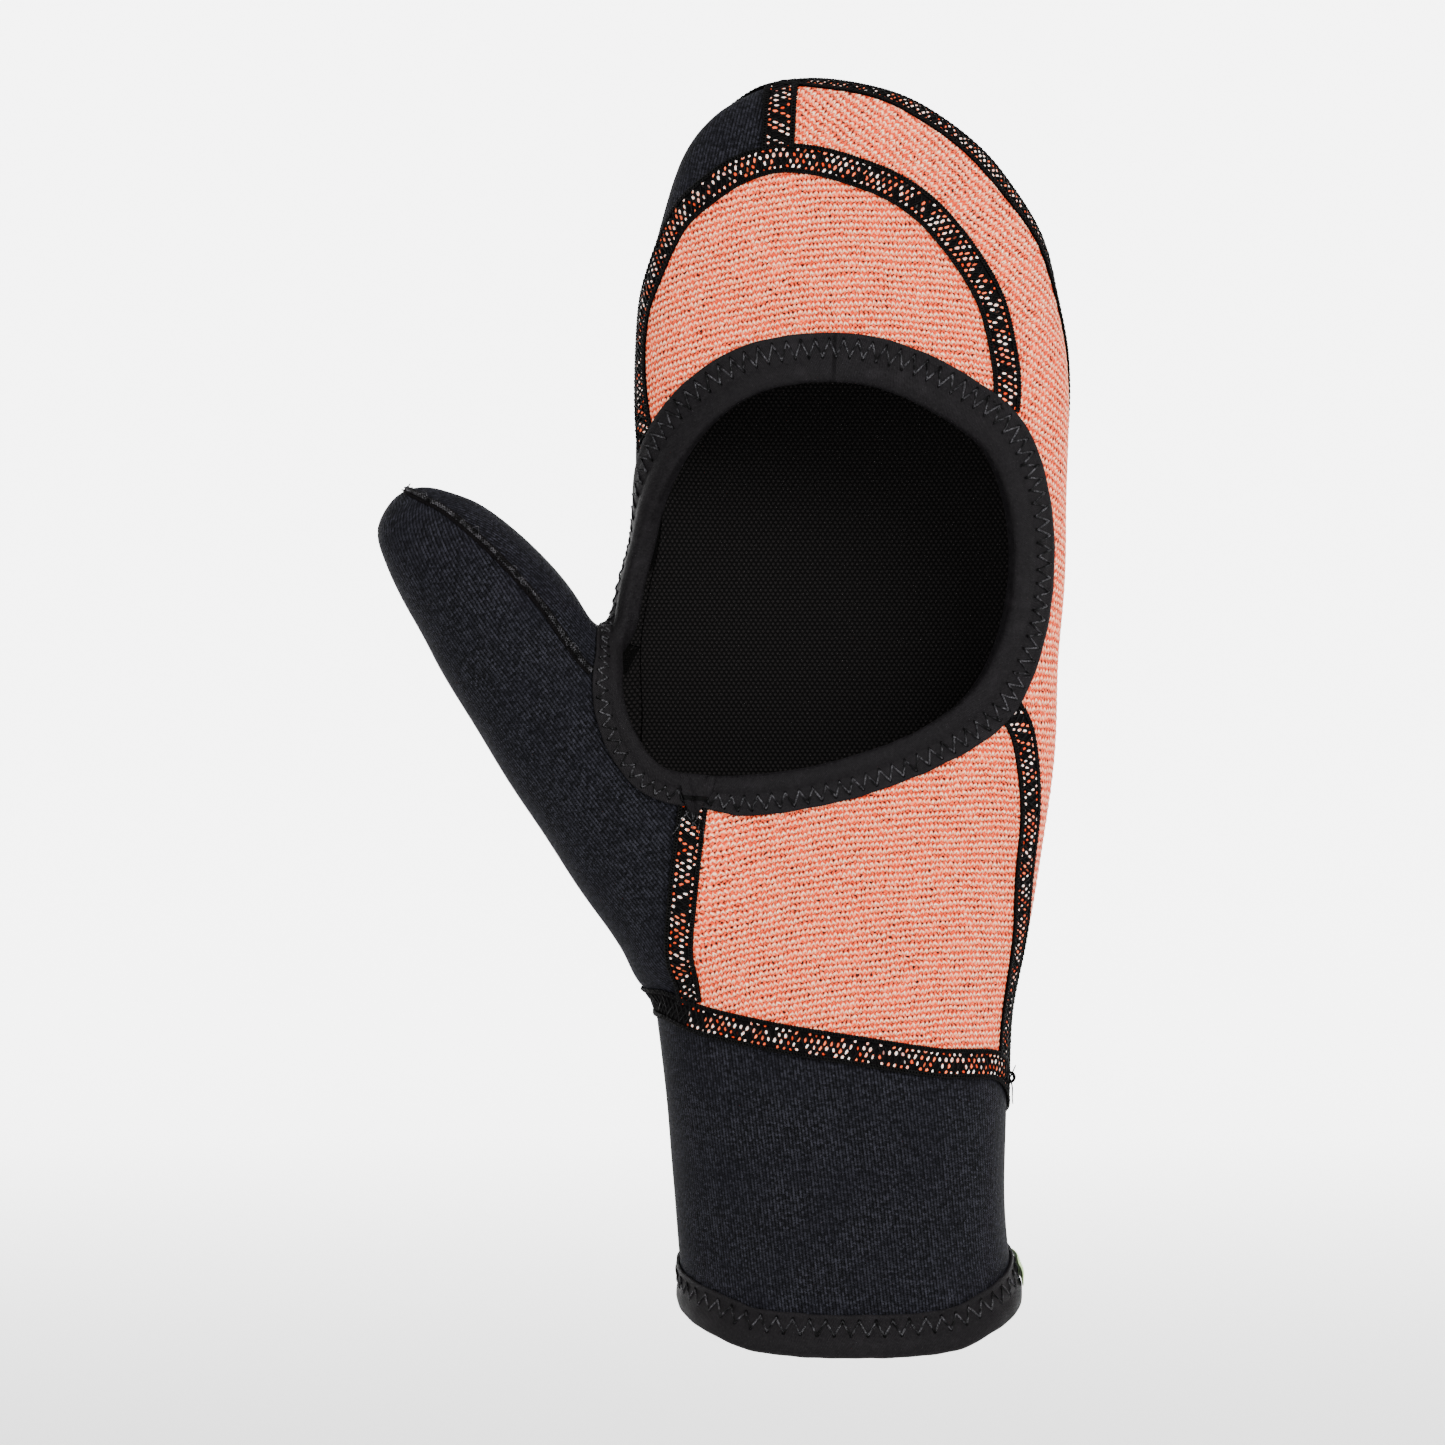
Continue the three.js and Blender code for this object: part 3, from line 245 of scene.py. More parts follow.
def gradient(points, reach):
    steps = np.eye(3) * reach
    return np.stack([field(points + s) - field(points - s) for s in steps], axis=-1) / (2 * reach)


def normals(points):
    g = gradient(points, 0.4)
    return g / np.linalg.norm(g, axis=-1, keepdims=True)


def unit(v):
    return v / np.maximum(np.linalg.norm(v, axis=-1, keepdims=True), 1e-12)


def ease(share):
    """Goes smoothly from 0 to 1, and is level beyond."""
    share = np.clip(share, 0, 1)
    return share * share * (3 - 2 * share)


def settle(points, rounds=10):
    """The nearest places on the cloth."""
    p = np.array(points, dtype=float)
    for _ in range(rounds):
        g = gradient(p, 0.02)
        move = g * (-field(p) / np.maximum((g ** 2).sum(-1), 1e-9))[..., None]
        size = np.linalg.norm(move, axis=-1, keepdims=True)
        p += move * np.minimum(1, (HALF_DEPTH / 4) / np.maximum(size, 1e-9))
        if size.max() < 1e-4:
            break
    return p


def seen_from(side, x, z):
    """The first place on the cloth from the palm side or the back at each x and z."""
    reach, count = 48, 60
    ys = side * reach * (1 - 2 * np.arange(1, count) / count)
    grid = np.stack(np.broadcast_arrays(x[:, None], ys[None], z[:, None]), axis=-1)
    hit = field(grid) < 0
    inner = ys[hit.argmax(axis=1)]
    outer = inner + side * reach * 2 / count
    for _ in range(26):
        middle = (inner + outer) / 2
        within = field(np.stack([x, middle, z], axis=-1)) < 0
        inner = np.where(within, middle, inner)
        outer = np.where(within, outer, middle)
    found = np.stack([x, inner, z], axis=-1)
    missed = ~hit.any(axis=1)
    if missed.any():
        found[missed] = settle(np.stack([x[missed], 0 * x[missed], z[missed]], axis=-1))
    return found


def places(rows, on_thumb=False):
    table = np.array([(*row, PALM)[:3] for row in rows], dtype=float)
    depth = table[:, 2]
    if on_thumb:
        p = THUMB_ROOT + table[:, :1] * THUMB_LENGTH * THUMB_ALONG + table[:, 1:2] * HALF_THUMB * THUMB_ACROSS
    else:
        p = np.stack([table[:, 0] * HALF_WIDTH, 0 * depth, table[:, 1] * MITT_LENGTH], axis=-1)
    for side in (PALM, BACK):
        seen = depth == side
        if seen.any():
            p[seen] = seen_from(side, p[seen, 0], p[seen, 2])
    near = (depth != PALM) & (depth != BACK)
    if near.any():
        p[near, 1] = depth[near] * HALF_DEPTH
        p[near] = settle(p[near], 16)
    return p


# Lines on the cloth, measured by their share of the length

class Line:
    """A smooth line through points, with its places found by their share of its length."""

    def __init__(self, points, closed=False):
        self.closed = closed
        if closed:
            knots = np.concatenate([points[-1:], points, points[:2]])
        else:
            knots = np.concatenate([2 * points[:1] - points[1:2], points, 2 * points[-1:] - points[-2:-1]])
        t = (np.arange(24) / 24)[:, None]
        runs = []
        for a, b, c, d in zip(knots, knots[1:], knots[2:], knots[3:]):
            ab, bc, cd = (max(np.linalg.norm(q - p) ** 0.5, 1e-4) for p, q in ((a, b), (b, c), (c, d)))
            start = ((b - a) / ab - (c - a) / (ab + bc) + (c - b) / bc) * bc
            end = ((c - b) / bc - (d - b) / (bc + cd) + (d - c) / cd) * bc
            runs.append(b + start * t + (-3 * b + 3 * c - 2 * start - end) * t ** 2
                        + (2 * b - 2 * c + start + end) * t ** 3)
        self.points = np.concatenate(runs + [(points[:1] if closed else points[-1:])])
        steps = np.linalg.norm(np.diff(self.points, axis=0), axis=1)
        self.sums = np.concatenate([[0], np.cumsum(steps)])
        self.length = self.sums[-1]

    def near(self, t):
        t = np.asarray(t, dtype=float)
        t = np.mod(t, 1) if self.closed else np.clip(t, 0, 1)
        at = t * self.length
        return np.stack([np.interp(at, self.sums, self.points[:, k]) for k in range(3)], axis=-1)

    def at(self, t):
        return settle(self.near(t), 4)

    def nearest(self, p):
        gaps = np.linalg.norm(self.points - p, axis=1)
        k = int(gaps.argmin())
        best, share = gaps[k], self.sums[k] / self.length
        ts = share + np.linspace(-1, 1, 81) * 2 / self.length
        gaps = np.linalg.norm(self.near(ts) - p, axis=1)
        return float(ts[gaps.argmin()]) if gaps.min() < best else float(share)

    def distance(self, points):
        flat = points.reshape(-1, 3)
        return np.array([np.linalg.norm(self.points - p, axis=1).min() for p in flat]).reshape(
            points.shape[:-1])

    def sideways(self, t):
        step = 0.5 / self.length
        tangent = unit(self.near(np.asarray(t) + step) - self.near(np.asarray(t) - step))
        return unit(np.cross(tangent, normals(self.at(t))))


def line_through(rows, closed=False, first=None, last=None, on_thumb=False):
    points = places(rows, on_thumb)
    if first is not None:
        points[0] = first.at([first.nearest(points[0])])[0]
    if last is not None:
        points[-1] = last.at([last.nearest(points[-1])])[0]
    return Line(points, closed)


def walk(start, heading, distance, steps):
    """Goes over the cloth, and gives the places after each step: steps + 1 rows of points."""
    p = np.array(start, dtype=float)
    h = np.array(heading, dtype=float)
    trail = [p.copy()]
    pace = np.asarray(distance, dtype=float)[..., None] / steps
    for _ in range(steps):
        p = settle(p + h * pace, 3)
        n = normals(p)
        h = unit(h - n * (h * n).sum(-1, keepdims=True))
        trail.append(p.copy())
    return np.stack(trail)


hole = line_through(PALM_HOLE, closed=True)
wrist_seam = line_through(WRIST_SEAM, closed=True)
hem = line_through(HEM, closed=True)
back_seam = line_through(BACK_SEAM, first=wrist_seam, last=wrist_seam)
tip_seam = line_through(TIP_SEAM, first=hole, last=hole)
split_seam = line_through(SPLIT_SEAM, first=tip_seam, last=back_seam)
side_seam = line_through(SIDE_SEAM, first=hole, last=wrist_seam)
heel_seam = line_through(HEEL_SEAM, first=hole, last=wrist_seam)
web_seam = line_through(WEB_SEAM, first=hole, last=back_seam)
thumb_seam = line_through(THUMB_SEAM, first=hole, last=web_seam, on_thumb=True)
cuff_seam = line_through(CUFF_SEAM, first=wrist_seam, last=hem)


# Panels of cloth, each a patch between four sides

def along(line, start=0, end=1):
    """A stretch of a line, as the side of a patch. Sides are joined by a plus."""
    return [(line, start, end + 1 if line.closed and end < start else end)]


def back(side):
    return [(line, end, start) for line, start, end in reversed(side)]


def read_side(side, count):
    """Places at even steps along a side, with one of them on each joint."""
    spans = np.array([abs(end - start) * line.length for line, start, end in side])
    cuts = np.round(np.cumsum(spans) / spans.sum() * count).astype(int)
    cuts = np.maximum(cuts, np.arange(1, len(cuts) + 1))
    cuts[-1] = count
    points, before = [], 0
    for (line, start, end), cut in zip(side, cuts):
        s = np.arange(0 if before == 0 else 1, cut - before + 1) / (cut - before)
        points.append(line.at(start + (end - start) * s))
        before = cut
    return np.concatenate(points)


def patch(bottom, top, left, right, across, up, crown=(0, 0, 0)):
    """A grid of places over the cloth between four sides."""
    b, t = read_side(bottom, across)[:, None], read_side(top, across)[:, None]
    l, r = read_side(left, up)[None], read_side(right, up)[None]
    u = np.linspace(0, 1, across + 1)[:, None, None]
    v = np.linspace(0, 1, up + 1)[None, :, None]
    grid = (b * (1 - v) + t * v + l * (1 - u) + r * u - b[:1] * (1 - u) * (1 - v) - b[-1:] * u * (1 - v)
            - t[:1] * (1 - u) * v - t[-1:] * u * v)
    grid = settle(grid + np.array(crown) * 4 * u * (1 - u) * (1 - (2 * v - 1) ** 4), 14)
    for turned in (grid, grid.transpose(1, 0, 2)):
        for row, near in ((turned[0], turned[1]), (turned[-1], turned[-2])):
            row += unit(near - row) * PANEL_GAP / 2
    return settle(grid, 3)


def finer(grid, times):
    """The same grid with each cell split into times by times cells."""
    for axis in (0, 1):
        grid = np.moveaxis(grid, axis, 0)
        n = grid.shape[0]
        at = np.arange((n - 1) * times + 1) / times
        i = np.minimum(at.astype(int), n - 2)
        f = (at - i)[:, None, None]
        grid = grid[i] * (1 - f) + grid[i + 1] * f
        grid = np.moveaxis(grid, 0, axis)
    return settle(grid, 3)


def placed(name, data):
    """A new object in the scene, from its mesh, light or camera."""
    made = bpy.data.objects.new(name, data)
    bpy.context.scene.collection.objects.link(made)
    return made


def give(mesh, key, values):
    """Puts a number or a vector on each point of a mesh."""
    kind, slot_name = ("FLOAT", "value") if values.ndim == 1 else ("FLOAT_VECTOR", "vector")
    mesh.attributes.new(key, kind, "POINT").data.foreach_set(slot_name, values.astype(np.float32).ravel())


def smoothed(mesh):
    mesh.polygons.foreach_set("use_smooth", np.ones(len(mesh.polygons), dtype=bool))


def meshed(name, parts, faces, materials, weave=None, sharp=50):
    """A closed object in metres, with its faces outward. parts and weave are grids of points and of their
    places in the knit. The first faces take the first material, and the rest the last."""
    mesh = bpy.data.meshes.new(name)
    points = np.concatenate([part.reshape(-1, 3) for part in parts])
    rows = [row for part in faces for row in (part.tolist() if isinstance(part, np.ndarray) else part)]
    mesh.from_pydata((points * MM).tolist(), [], rows)
    for material in materials:
        mesh.materials.append(material)
    finishes = [np.full(len(part), min(k, len(materials) - 1)) for k, part in enumerate(faces)]
    mesh.polygons.foreach_set("material_index", np.concatenate(finishes).astype(np.int32))
    smoothed(mesh)
    if weave is not None:
        give(mesh, "weave", np.concatenate([part.reshape(-1, 3) for part in weave]))
    mesh.set_sharp_from_angle(angle=math.radians(sharp))
    mesh.validate()
    if signed_volume(mesh) < 0:
        mesh.flip_normals()
    return placed(name, mesh)


def numbers(grid, first=0):
    """The numbers of a grid's points in its mesh."""
    return np.arange(grid.shape[0] * grid.shape[1]).reshape(grid.shape[:2]) + first


def cells(at):
    """The four corners of each cell in a grid of numbers. The grid's transpose gives them turned over."""
    return np.stack([x.ravel() for x in (at[:-1, :-1], at[1:, :-1], at[1:, 1:], at[:-1, 1:])], axis=1)


def shell(up, down):
    """The faces over, under and along both sides of a band."""
    sides = (down[:, 0], up[:, 0]), (up[:, -1], down[:, -1])
    return [cells(up), cells(down.T)] + [cells(np.stack(side, axis=1)) for side in sides]


def cloth_solid(name, coarse, relief, weave, materials):
    """A panel with a fine outside and a coarser inside, joined round its edge.
    relief gives the outside's height and weave its place in the knit, both in millimetres."""
    outer = finer(coarse, FINER)
    place = weave(outer)
    top = outer + normals(outer) * relief(place)[..., None]
    under = coarse - normals(coarse) * WALL
    fine = numbers(outer)
    low = numbers(coarse, fine.size)
    rim = []
    for edge, edge_low, turn in ((fine[0], low[0], 1), (fine[-1], low[-1], -1),
                                 (fine[:, 0], low[:, 0], -1), (fine[:, -1], low[:, -1], 1)):
        for k in range(len(edge_low) - 1):
            run = edge[k * FINER:(k + 1) * FINER + 1].tolist()
            rim.append(([int(edge_low[k + 1]), int(edge_low[k])] + run)[::turn])
    return meshed(name, [top, under], [cells(fine), cells(low.T), rim], materials,
                  [place, lining_rows(coarse)])


def signed_volume(mesh):
    mesh.calc_loop_triangles()
    points = np.empty(len(mesh.vertices) * 3)
    mesh.vertices.foreach_get("co", points)
    points = points.reshape(-1, 3)
    corners = np.empty(len(mesh.loop_triangles) * 3, dtype=np.int32)
    mesh.loop_triangles.foreach_get("vertices", corners)
    a, b, c = (points[corners.reshape(-1, 3)[:, k]] for k in range(3))
    return float((a * np.cross(b, c)).sum() / 6)


# Where the cloth's rows run, as millimetres along and across them at each point

def way_table(ratio, power, from_depth):
    angle = np.linspace(-np.pi, np.pi, 1441)
    first, other = np.cos(angle), np.sin(angle)
    radius = (np.abs(first) ** power + np.abs(other) ** power) ** (-1 / power)
    stretch = (ratio, 1) if from_depth else (1, ratio)
    steps = np.hypot(np.diff(radius * first) * stretch[0], np.diff(radius * other) * stretch[1])
    sums = np.concatenate([[0], np.cumsum(steps)])
    return angle, sums - sums[720]


HAND_FRONT = way_table(0.4, HAND_POWER, True)
THUMB_SIDES = way_table(0.88, THUMB_POWER, False)


def round_hand(p, facing=PALM, level_tips=True):
    """The way round the hand from the middle of its palm side, or of its back."""
    x, y, z = p.reshape(-1, 3).T
    read = HAND.read(z / MITT_LENGTH)
    half = np.sqrt(np.maximum(read[:, 1], 0.09)) * HALF_WIDTH
    across = (x - read[:, 0] * HALF_WIDTH) / half
    depth = (y - read[:, 3] * HALF_DEPTH) / (half * read[:, 2] * HALF_DEPTH / HALF_WIDTH)
    way = np.interp(np.arctan2(across, facing * depth), *HAND_FRONT) * half + read[:, 0] * HALF_WIDTH
    level = ease((z - 205) / 32) * level_tips
    return (way * (1 - level) + x * level).reshape(p.shape[:-1])


def round_thumb(p, facing):
    """The way round the thumb from its outer side or its inner side, and the way up it."""
    q = p.reshape(-1, 3) - THUMB_ROOT
    up = q @ THUMB_ALONG
    read = THUMB.read(up / THUMB_LENGTH)
    half = np.sqrt(np.maximum(read[:, 1], 0.16)) * HALF_THUMB
    across = (q @ THUMB_ACROSS - read[:, 0] * HALF_THUMB) / half
    depth = (q[:, 1] - read[:, 3] * HALF_DEPTH) / (half * read[:, 2] * THUMB_DEPTH_RATIO)
    way = np.interp(np.arctan2(depth, facing * across), *THUMB_SIDES) * half
    return way.reshape(p.shape[:-1]), up.reshape(p.shape[:-1])


def rows_at(way, across, tilt=0.0):
    """The place in rows that fall by tilt degrees, with the small waver of real knitting."""
    c, s = np.cos(np.radians(tilt)), np.sin(np.radians(tilt))
    u = way * c - across * s
    v = across * c + way * s
    v = v + 0.16 * np.sin(u / 6.3 + np.sin(v / 9.0)) + 0.1 * np.sin(u / 2.9 + v / 5.3)
    return np.stack([u, v, 0 * u], axis=-1)


def bowed_rows(bow, middle):
    """Rows that lie level at the middle and rise away from it."""
    def rows(p):
        way = round_hand(p)
        return rows_at(way, p[..., 2] + bow * (way - middle) ** 2)
    return rows


def outer_rows(p):
    """Rows that lie level low on the side and turn until they fall steeply over the fingertips."""
    heights = np.linspace(20, 272, 253)
    turn = np.radians(np.interp(heights, [100, 130, 152, 180, 208, 235], [0, 5, 17, 28, 36, 42]))
    middle = np.interp(heights, [180, 208, 235, 252], [52, 46, 28, 8])
    lean = np.gradient(middle, heights)
    up_sum = np.cumsum(np.cos(turn) + lean * np.sin(turn))
    side_sum = np.cumsum(np.sin(turn) - lean * np.cos(turn))
    z = p[..., 2]
    t = np.interp(z, heights, turn)
    beside = round_hand(p) - np.interp(z, heights, middle)
    u = beside * np.cos(t) - np.interp(z, heights, side_sum)
    v = beside * np.sin(t) + np.interp(z, heights, up_sum)
    return rows_at(u, v * 0.88)


def back_rows(p):
    """Rows level up the back, and leaning with the cloth where it goes over the fingertips."""
    return rows_at(round_hand(p, BACK), p[..., 2] + ease((p[..., 2] - 195) / 45) * (14 - 0.6 * p[..., 1]))


def index_rows(p):
    return rows_at(round_hand(p, PALM, False), p[..., 2], 12)


def cuff_rows(p):
    middle = p[:, p.shape[1] // 2]
    steps = np.linalg.norm(np.diff(middle, axis=0), axis=1)
    way = np.concatenate([[0], np.cumsum(steps)])[:, None] + 0 * p[..., 2]
    return rows_at(way, p[..., 2])


def thumb_rows(facing, tilt):
    return lambda p: rows_at(*round_thumb(p, facing), tilt)


def lining_rows(p):
    """The mesh of the lining runs level across the hand, and round towards the back at its sides."""
    way = np.where(np.abs(normals(p)[..., 0]) > 0.8, p[..., 1] + 60, p[..., 0])
    return np.stack([way, p[..., 2], 0 * way], axis=-1)


def ribbed(place):
    phase = place[..., 1] / RIB_PITCH - 0.2
    return RIB_RELIEF * np.sin(np.pi * phase) ** 2 + 0.03 * np.sin(place[..., 0] / 0.9 + 3 * np.floor(phase))


def smooth_cloth(place):
    return 0.05 * np.sin(place[..., 0] / 4.7 + 1.3) * np.sin(place[..., 1] / 6.1)


# Finishes

def paint(red, green, blue):
    """A colour from its 0 to 255 values on a screen."""
    def plain(value):
        share = value / 255
        return share / 12.92 if share <= 0.04045 else ((share + 0.055) / 1.055) ** 2.4
    return (plain(red), plain(green), plain(blue), 1.0)


# Yarn colours of the salmon knit, and last a dark brown painted as shade in the gaps between its loops
CREAM = paint(255, 220, 188)
ROSE = paint(255, 160, 112)
WARM_SALMON = paint(246, 118, 76)
MID_SALMON = paint(238, 94, 54)
ORANGE = paint(224, 70, 32)
DEEP_ORANGE = paint(194, 48, 16)
GAP_SHADE = paint(26, 12, 10)


def maths(operation, *first):
    return lambda self, *others: self.work(operation, *first, *others)


class Number:
    """A number that runs through a node tree."""

    def __init__(self, tree, socket):
        self.tree = tree
        self.socket = socket

    def work(self, operation, *others):
        made = node(self.tree, "ShaderNodeMath", {"operation": operation}, dict(enumerate((self, *others))))
        return Number(self.tree, made.outputs[0])

    __add__ = __radd__ = maths("ADD")
    __mul__ = __rmul__ = maths("MULTIPLY")
    __sub__, __rsub__, __truediv__ = maths("SUBTRACT"), maths("MULTIPLY_ADD", -1), maths("DIVIDE")
    sine, size, part, whole = maths("SINE"), maths("ABSOLUTE"), maths("FRACT"), maths("FLOOR")
    power, swing = maths("POWER"), maths("PINGPONG", 1)

    def ramp(self, start, end):
        """Goes smoothly from 0 at start to 1 at end."""
        if isinstance(start, (int, float)) and start > end:
            return 1 - self.ramp(end, start)
        made = node(self.tree, "ShaderNodeMapRange", {"interpolation_type": "SMOOTHSTEP"},
                    {0: self, 1: start, 2: end})
        return Number(self.tree, made.outputs[0])


def node(tree, kind, settings=None, values=None):
    """Adds a node, with its settings first and then its sockets' values or links."""
    made = tree.nodes.new(kind)
    for key, value in (settings or {}).items():
        setattr(made, key, value)
    feed(tree, made, values or {})
    return made


def feed(tree, made, values):
    for key, value in values.items():
        value = value.socket if isinstance(value, Number) else value
        if isinstance(value, bpy.types.NodeSocket):
            tree.links.new(value, made.inputs[key])
        else:
            made.inputs[key].default_value = value


class Finish:
    """A material under way: its shader and the places that its patterns read."""

    def __init__(self, name):
        self.material = bpy.data.materials.new(name)
        self.material.use_nodes = True
        self.tree = self.material.node_tree
        self.tree.nodes.clear()
        self.shader = self.node("ShaderNodeBsdfPrincipled")
        self.node("ShaderNodeOutputMaterial", None, {"Surface": self.shader.outputs[0]})

    def node(self, kind, settings=None, values=None):
        return node(self.tree, kind, settings, values)

    def split(self, vector):
        parts = self.node("ShaderNodeSeparateXYZ", None, {0: vector})
        return [Number(self.tree, socket) for socket in parts.outputs]

    def rows(self):
        """Millimetres along and across the rows, the third value, and all three as a vector."""
        read = self.node("ShaderNodeAttribute", {"attribute_name": "weave"}).outputs["Vector"]
        return *self.split(read), read

    def object_place(self):
        return self.node("ShaderNodeTexCoord").outputs["Object"]

    def noise(self, place, scale, detail=2.0, stretch=None):
        if stretch is not None:
            place = self.node("ShaderNodeMapping", None, {"Vector": place, "Scale": stretch}).outputs[0]
        made = self.node("ShaderNodeTexNoise", None, {"Vector": place, "Scale": scale, "Detail": detail})
        return Number(self.tree, made.outputs[0])

    def speck(self, along_rows, across, seed):
        """A steady random number for each whole pair of along_rows and across."""
        at = self.node("ShaderNodeCombineXYZ", None,
                       {0: along_rows.whole() + 0.5, 1: across.whole() + 0.5, 2: seed})
        made = self.node("ShaderNodeTexWhiteNoise", {"noise_dimensions": "3D"}, {0: at.outputs[0]})
        return Number(self.tree, made.outputs[0])

    def blend(self, share, first, second):
        return self.node("ShaderNodeMix", {"data_type": "RGBA"}, {0: share, 6: first, 7: second}).outputs[2]

    def look(self, colour, roughness, gloss, height, distance):
        """Colour, roughness and highlight, and a bump whose height is distance metres."""
        bump = self.node("ShaderNodeBump", None, {"Height": height, "Distance": distance})
        feed(self.tree, self.shader, {"Base Color": colour, "Roughness": roughness,
                                      "Specular IOR Level": gloss, "Normal": bump.outputs[0]})

    def fuzz(self, weight, roughness, tint):
        feed(self.tree, self.shader, {"Sheen Weight": weight, "Sheen Roughness": roughness,
                                      "Sheen Tint": tint})


def salmon_knit():
    f = Finish("salmon_knit")
    u, v, _, place = f.rows()
    slub = f.noise(place, 0.5, 2.0, (0.45, 1.1, 1.0))
    fine = f.noise(place, 2.4)
    sway = f.noise(place, 0.8, 1.0)
    row = v / RIB_PITCH
    loops = u / STITCH_PITCH + f.speck(row, row * 0, 3.0) + sway * 1.2
    tooth = (loops.part() - 0.5).size() * 2
    stitch, other = (f.speck(loops, row, seed) for seed in (1.0, 7.0))
    phase = (row + tooth * 0.5 + (stitch - 0.5) * 0.24).part()
    wide = 0.26 + slub.ramp(0.3, 0.75) * 0.24 + (other - 0.5) * 0.12
    line = phase.ramp(0.0, 0.05) * phase.ramp(wide + 0.08, wide - 0.04)
    # Painted shade: the pale yarn is darkened between the loops, and the pale band is lightest at its crown
    # and salmon at its edges, partly the pale yarn's own colour and partly painted shading of the rounded
    # loops.
    between_loops_shade = tooth.ramp(0.5, 0.95)
    light = phase.ramp(0.4, 0.66) * phase.ramp(1.0, 0.8) * (1 - between_loops_shade * 0.85) * (0.5 + stitch * 0.5)
    pale = f.blend(fine.ramp(0.3, 0.6), ROSE, CREAM)
    colour = f.blend(light, f.blend(other, MID_SALMON, WARM_SALMON), pale)
    colour = f.blend(line, colour, f.blend(other, DEEP_ORANGE, ORANGE))
    # Painted shade: the gaps between the loops are painted near-black brown.
    gap_shade = tooth.ramp(0.5, 0.75) * (phase - wide).size().ramp(0.28, 0.12) * other.ramp(0.3, 0.42)
    colour = f.blend(gap_shade, colour, GAP_SHADE)
    f.look(colour, 0.84 + fine * 0.14, 0.12, light + fine * 0.3 - line * 0.3 - gap_shade * 0.8, 0.0004)
    f.fuzz(0.03, 0.5, (1.0, 0.86, 0.8, 1.0))
    return f.material


def navy_jersey():
    f = Finish("navy_jersey")
    u, v, _, place = f.rows()
    haze = f.noise(place, 0.09, 3.0)
    fibre = f.noise(place, 3.4, 2.0, (1.0, 0.45, 1.0))
    pill = f.noise(place, 1.3)
    course, column = v / COURSE_PITCH, u / WALE_PITCH
    wale = (u * (HALF_TURN / WALE_PITCH) + fibre * 1.6).sine().size()
    loop = f.speck(column, course + fibre * 0.5, 3.0)
    bow = ((course + column.swing() * 0.7) * HALF_TURN).sine().size()
    stitch = wale * 0.7 + bow * 0.3
    # Painted highlight: the raised wales and loops are painted lighter; the loop and pill noises add random
    # tone.
    stitch_highlight_and_tone = stitch.ramp(0.2, 0.85) * (0.2 + loop * 0.8) * (0.45 + pill.ramp(0.3, 0.7) * 0.9)
    colour = f.blend(stitch_highlight_and_tone, paint(1, 1, 1), paint(35, 35, 41))
    colour = f.blend(haze.ramp(0.35, 0.7) * 0.35, colour, paint(10, 10, 15))
    f.look(colour, 0.66 + fibre * 0.25, 0.04, stitch + loop * 0.5 + fibre * 0.5, 0.0002)
    f.fuzz(0.003, 0.4, (0.7, 0.8, 1.0, 1.0))
    return f.material


def charcoal_lining():
    f = Finish("charcoal_lining")
    u, v, _, place = f.rows()
    fine = f.noise(place, 2.2)
    row = v / MESH_ROW
    shift = (row.whole() * 0.5).part()
    beside = ((u / MESH_PITCH + shift).part() - 0.5) * MESH_PITCH
    rise = (row.part() - 0.5) * MESH_ROW
    bump = (beside.power(2) + rise.power(2)).ramp(0.22, 0.01)
    # Painted light: the raised dots are painted lighter and the hollows between them darker, painted shade.
    colour = f.blend(bump * 0.85 + fine * 0.15, paint(3, 3, 3), paint(26, 24, 24))
    f.look(colour, 0.78 + fine * 0.15, 0.04, bump + fine * 0.2, 0.0002)
    return f.material


def black_tape():
    f = Finish("black_tape")
    u, v, turned, place = f.rows()
    weave = ((u + v) * (HALF_TURN / 0.42)).sine() * ((u - v) * (HALF_TURN / 0.42)).sine()
    fine = f.noise(place, 1.6, 3.0)
    wear = f.noise(place, 0.25)
    turns = turned * 2
    near = (turns + 0.5).whole()
    ends = (v - ZIGZAG_REACH * BINDING_WIDTH - (near.swing() - 0.5) * ZIGZAG_WIDTH) / 0.6
    beside = (turns - near) * (ZIGZAG_PITCH / 2 / 0.4)
    pit = (ends.power(2) + beside.power(2) + fine * 0.8).ramp(1.5, 0.5)
    rib = ((u + v * 0.35) * (HALF_TURN / 0.36)).sine().size()
    colour = f.blend(fine.ramp(0.3, 0.75), paint(4, 3, 4), paint(15, 14, 15))
    # Painted highlight: the raised ribs are painted lighter; the noise patches add random lighter tone.
    colour = f.blend(rib * 0.3 + wear.ramp(0.5, 0.8) * 0.35, colour, paint(25, 23, 25))
    # Painted shade: the needle holes of the zigzag are painted black.
    colour = f.blend(pit, colour, paint(0, 0, 0))
    f.look(colour, 0.5 + fine * 0.25, 0.06, rib * 0.3 + weave * 0.1 + fine * 0.5 - pit * 1.6, 0.0002)
    return f.material


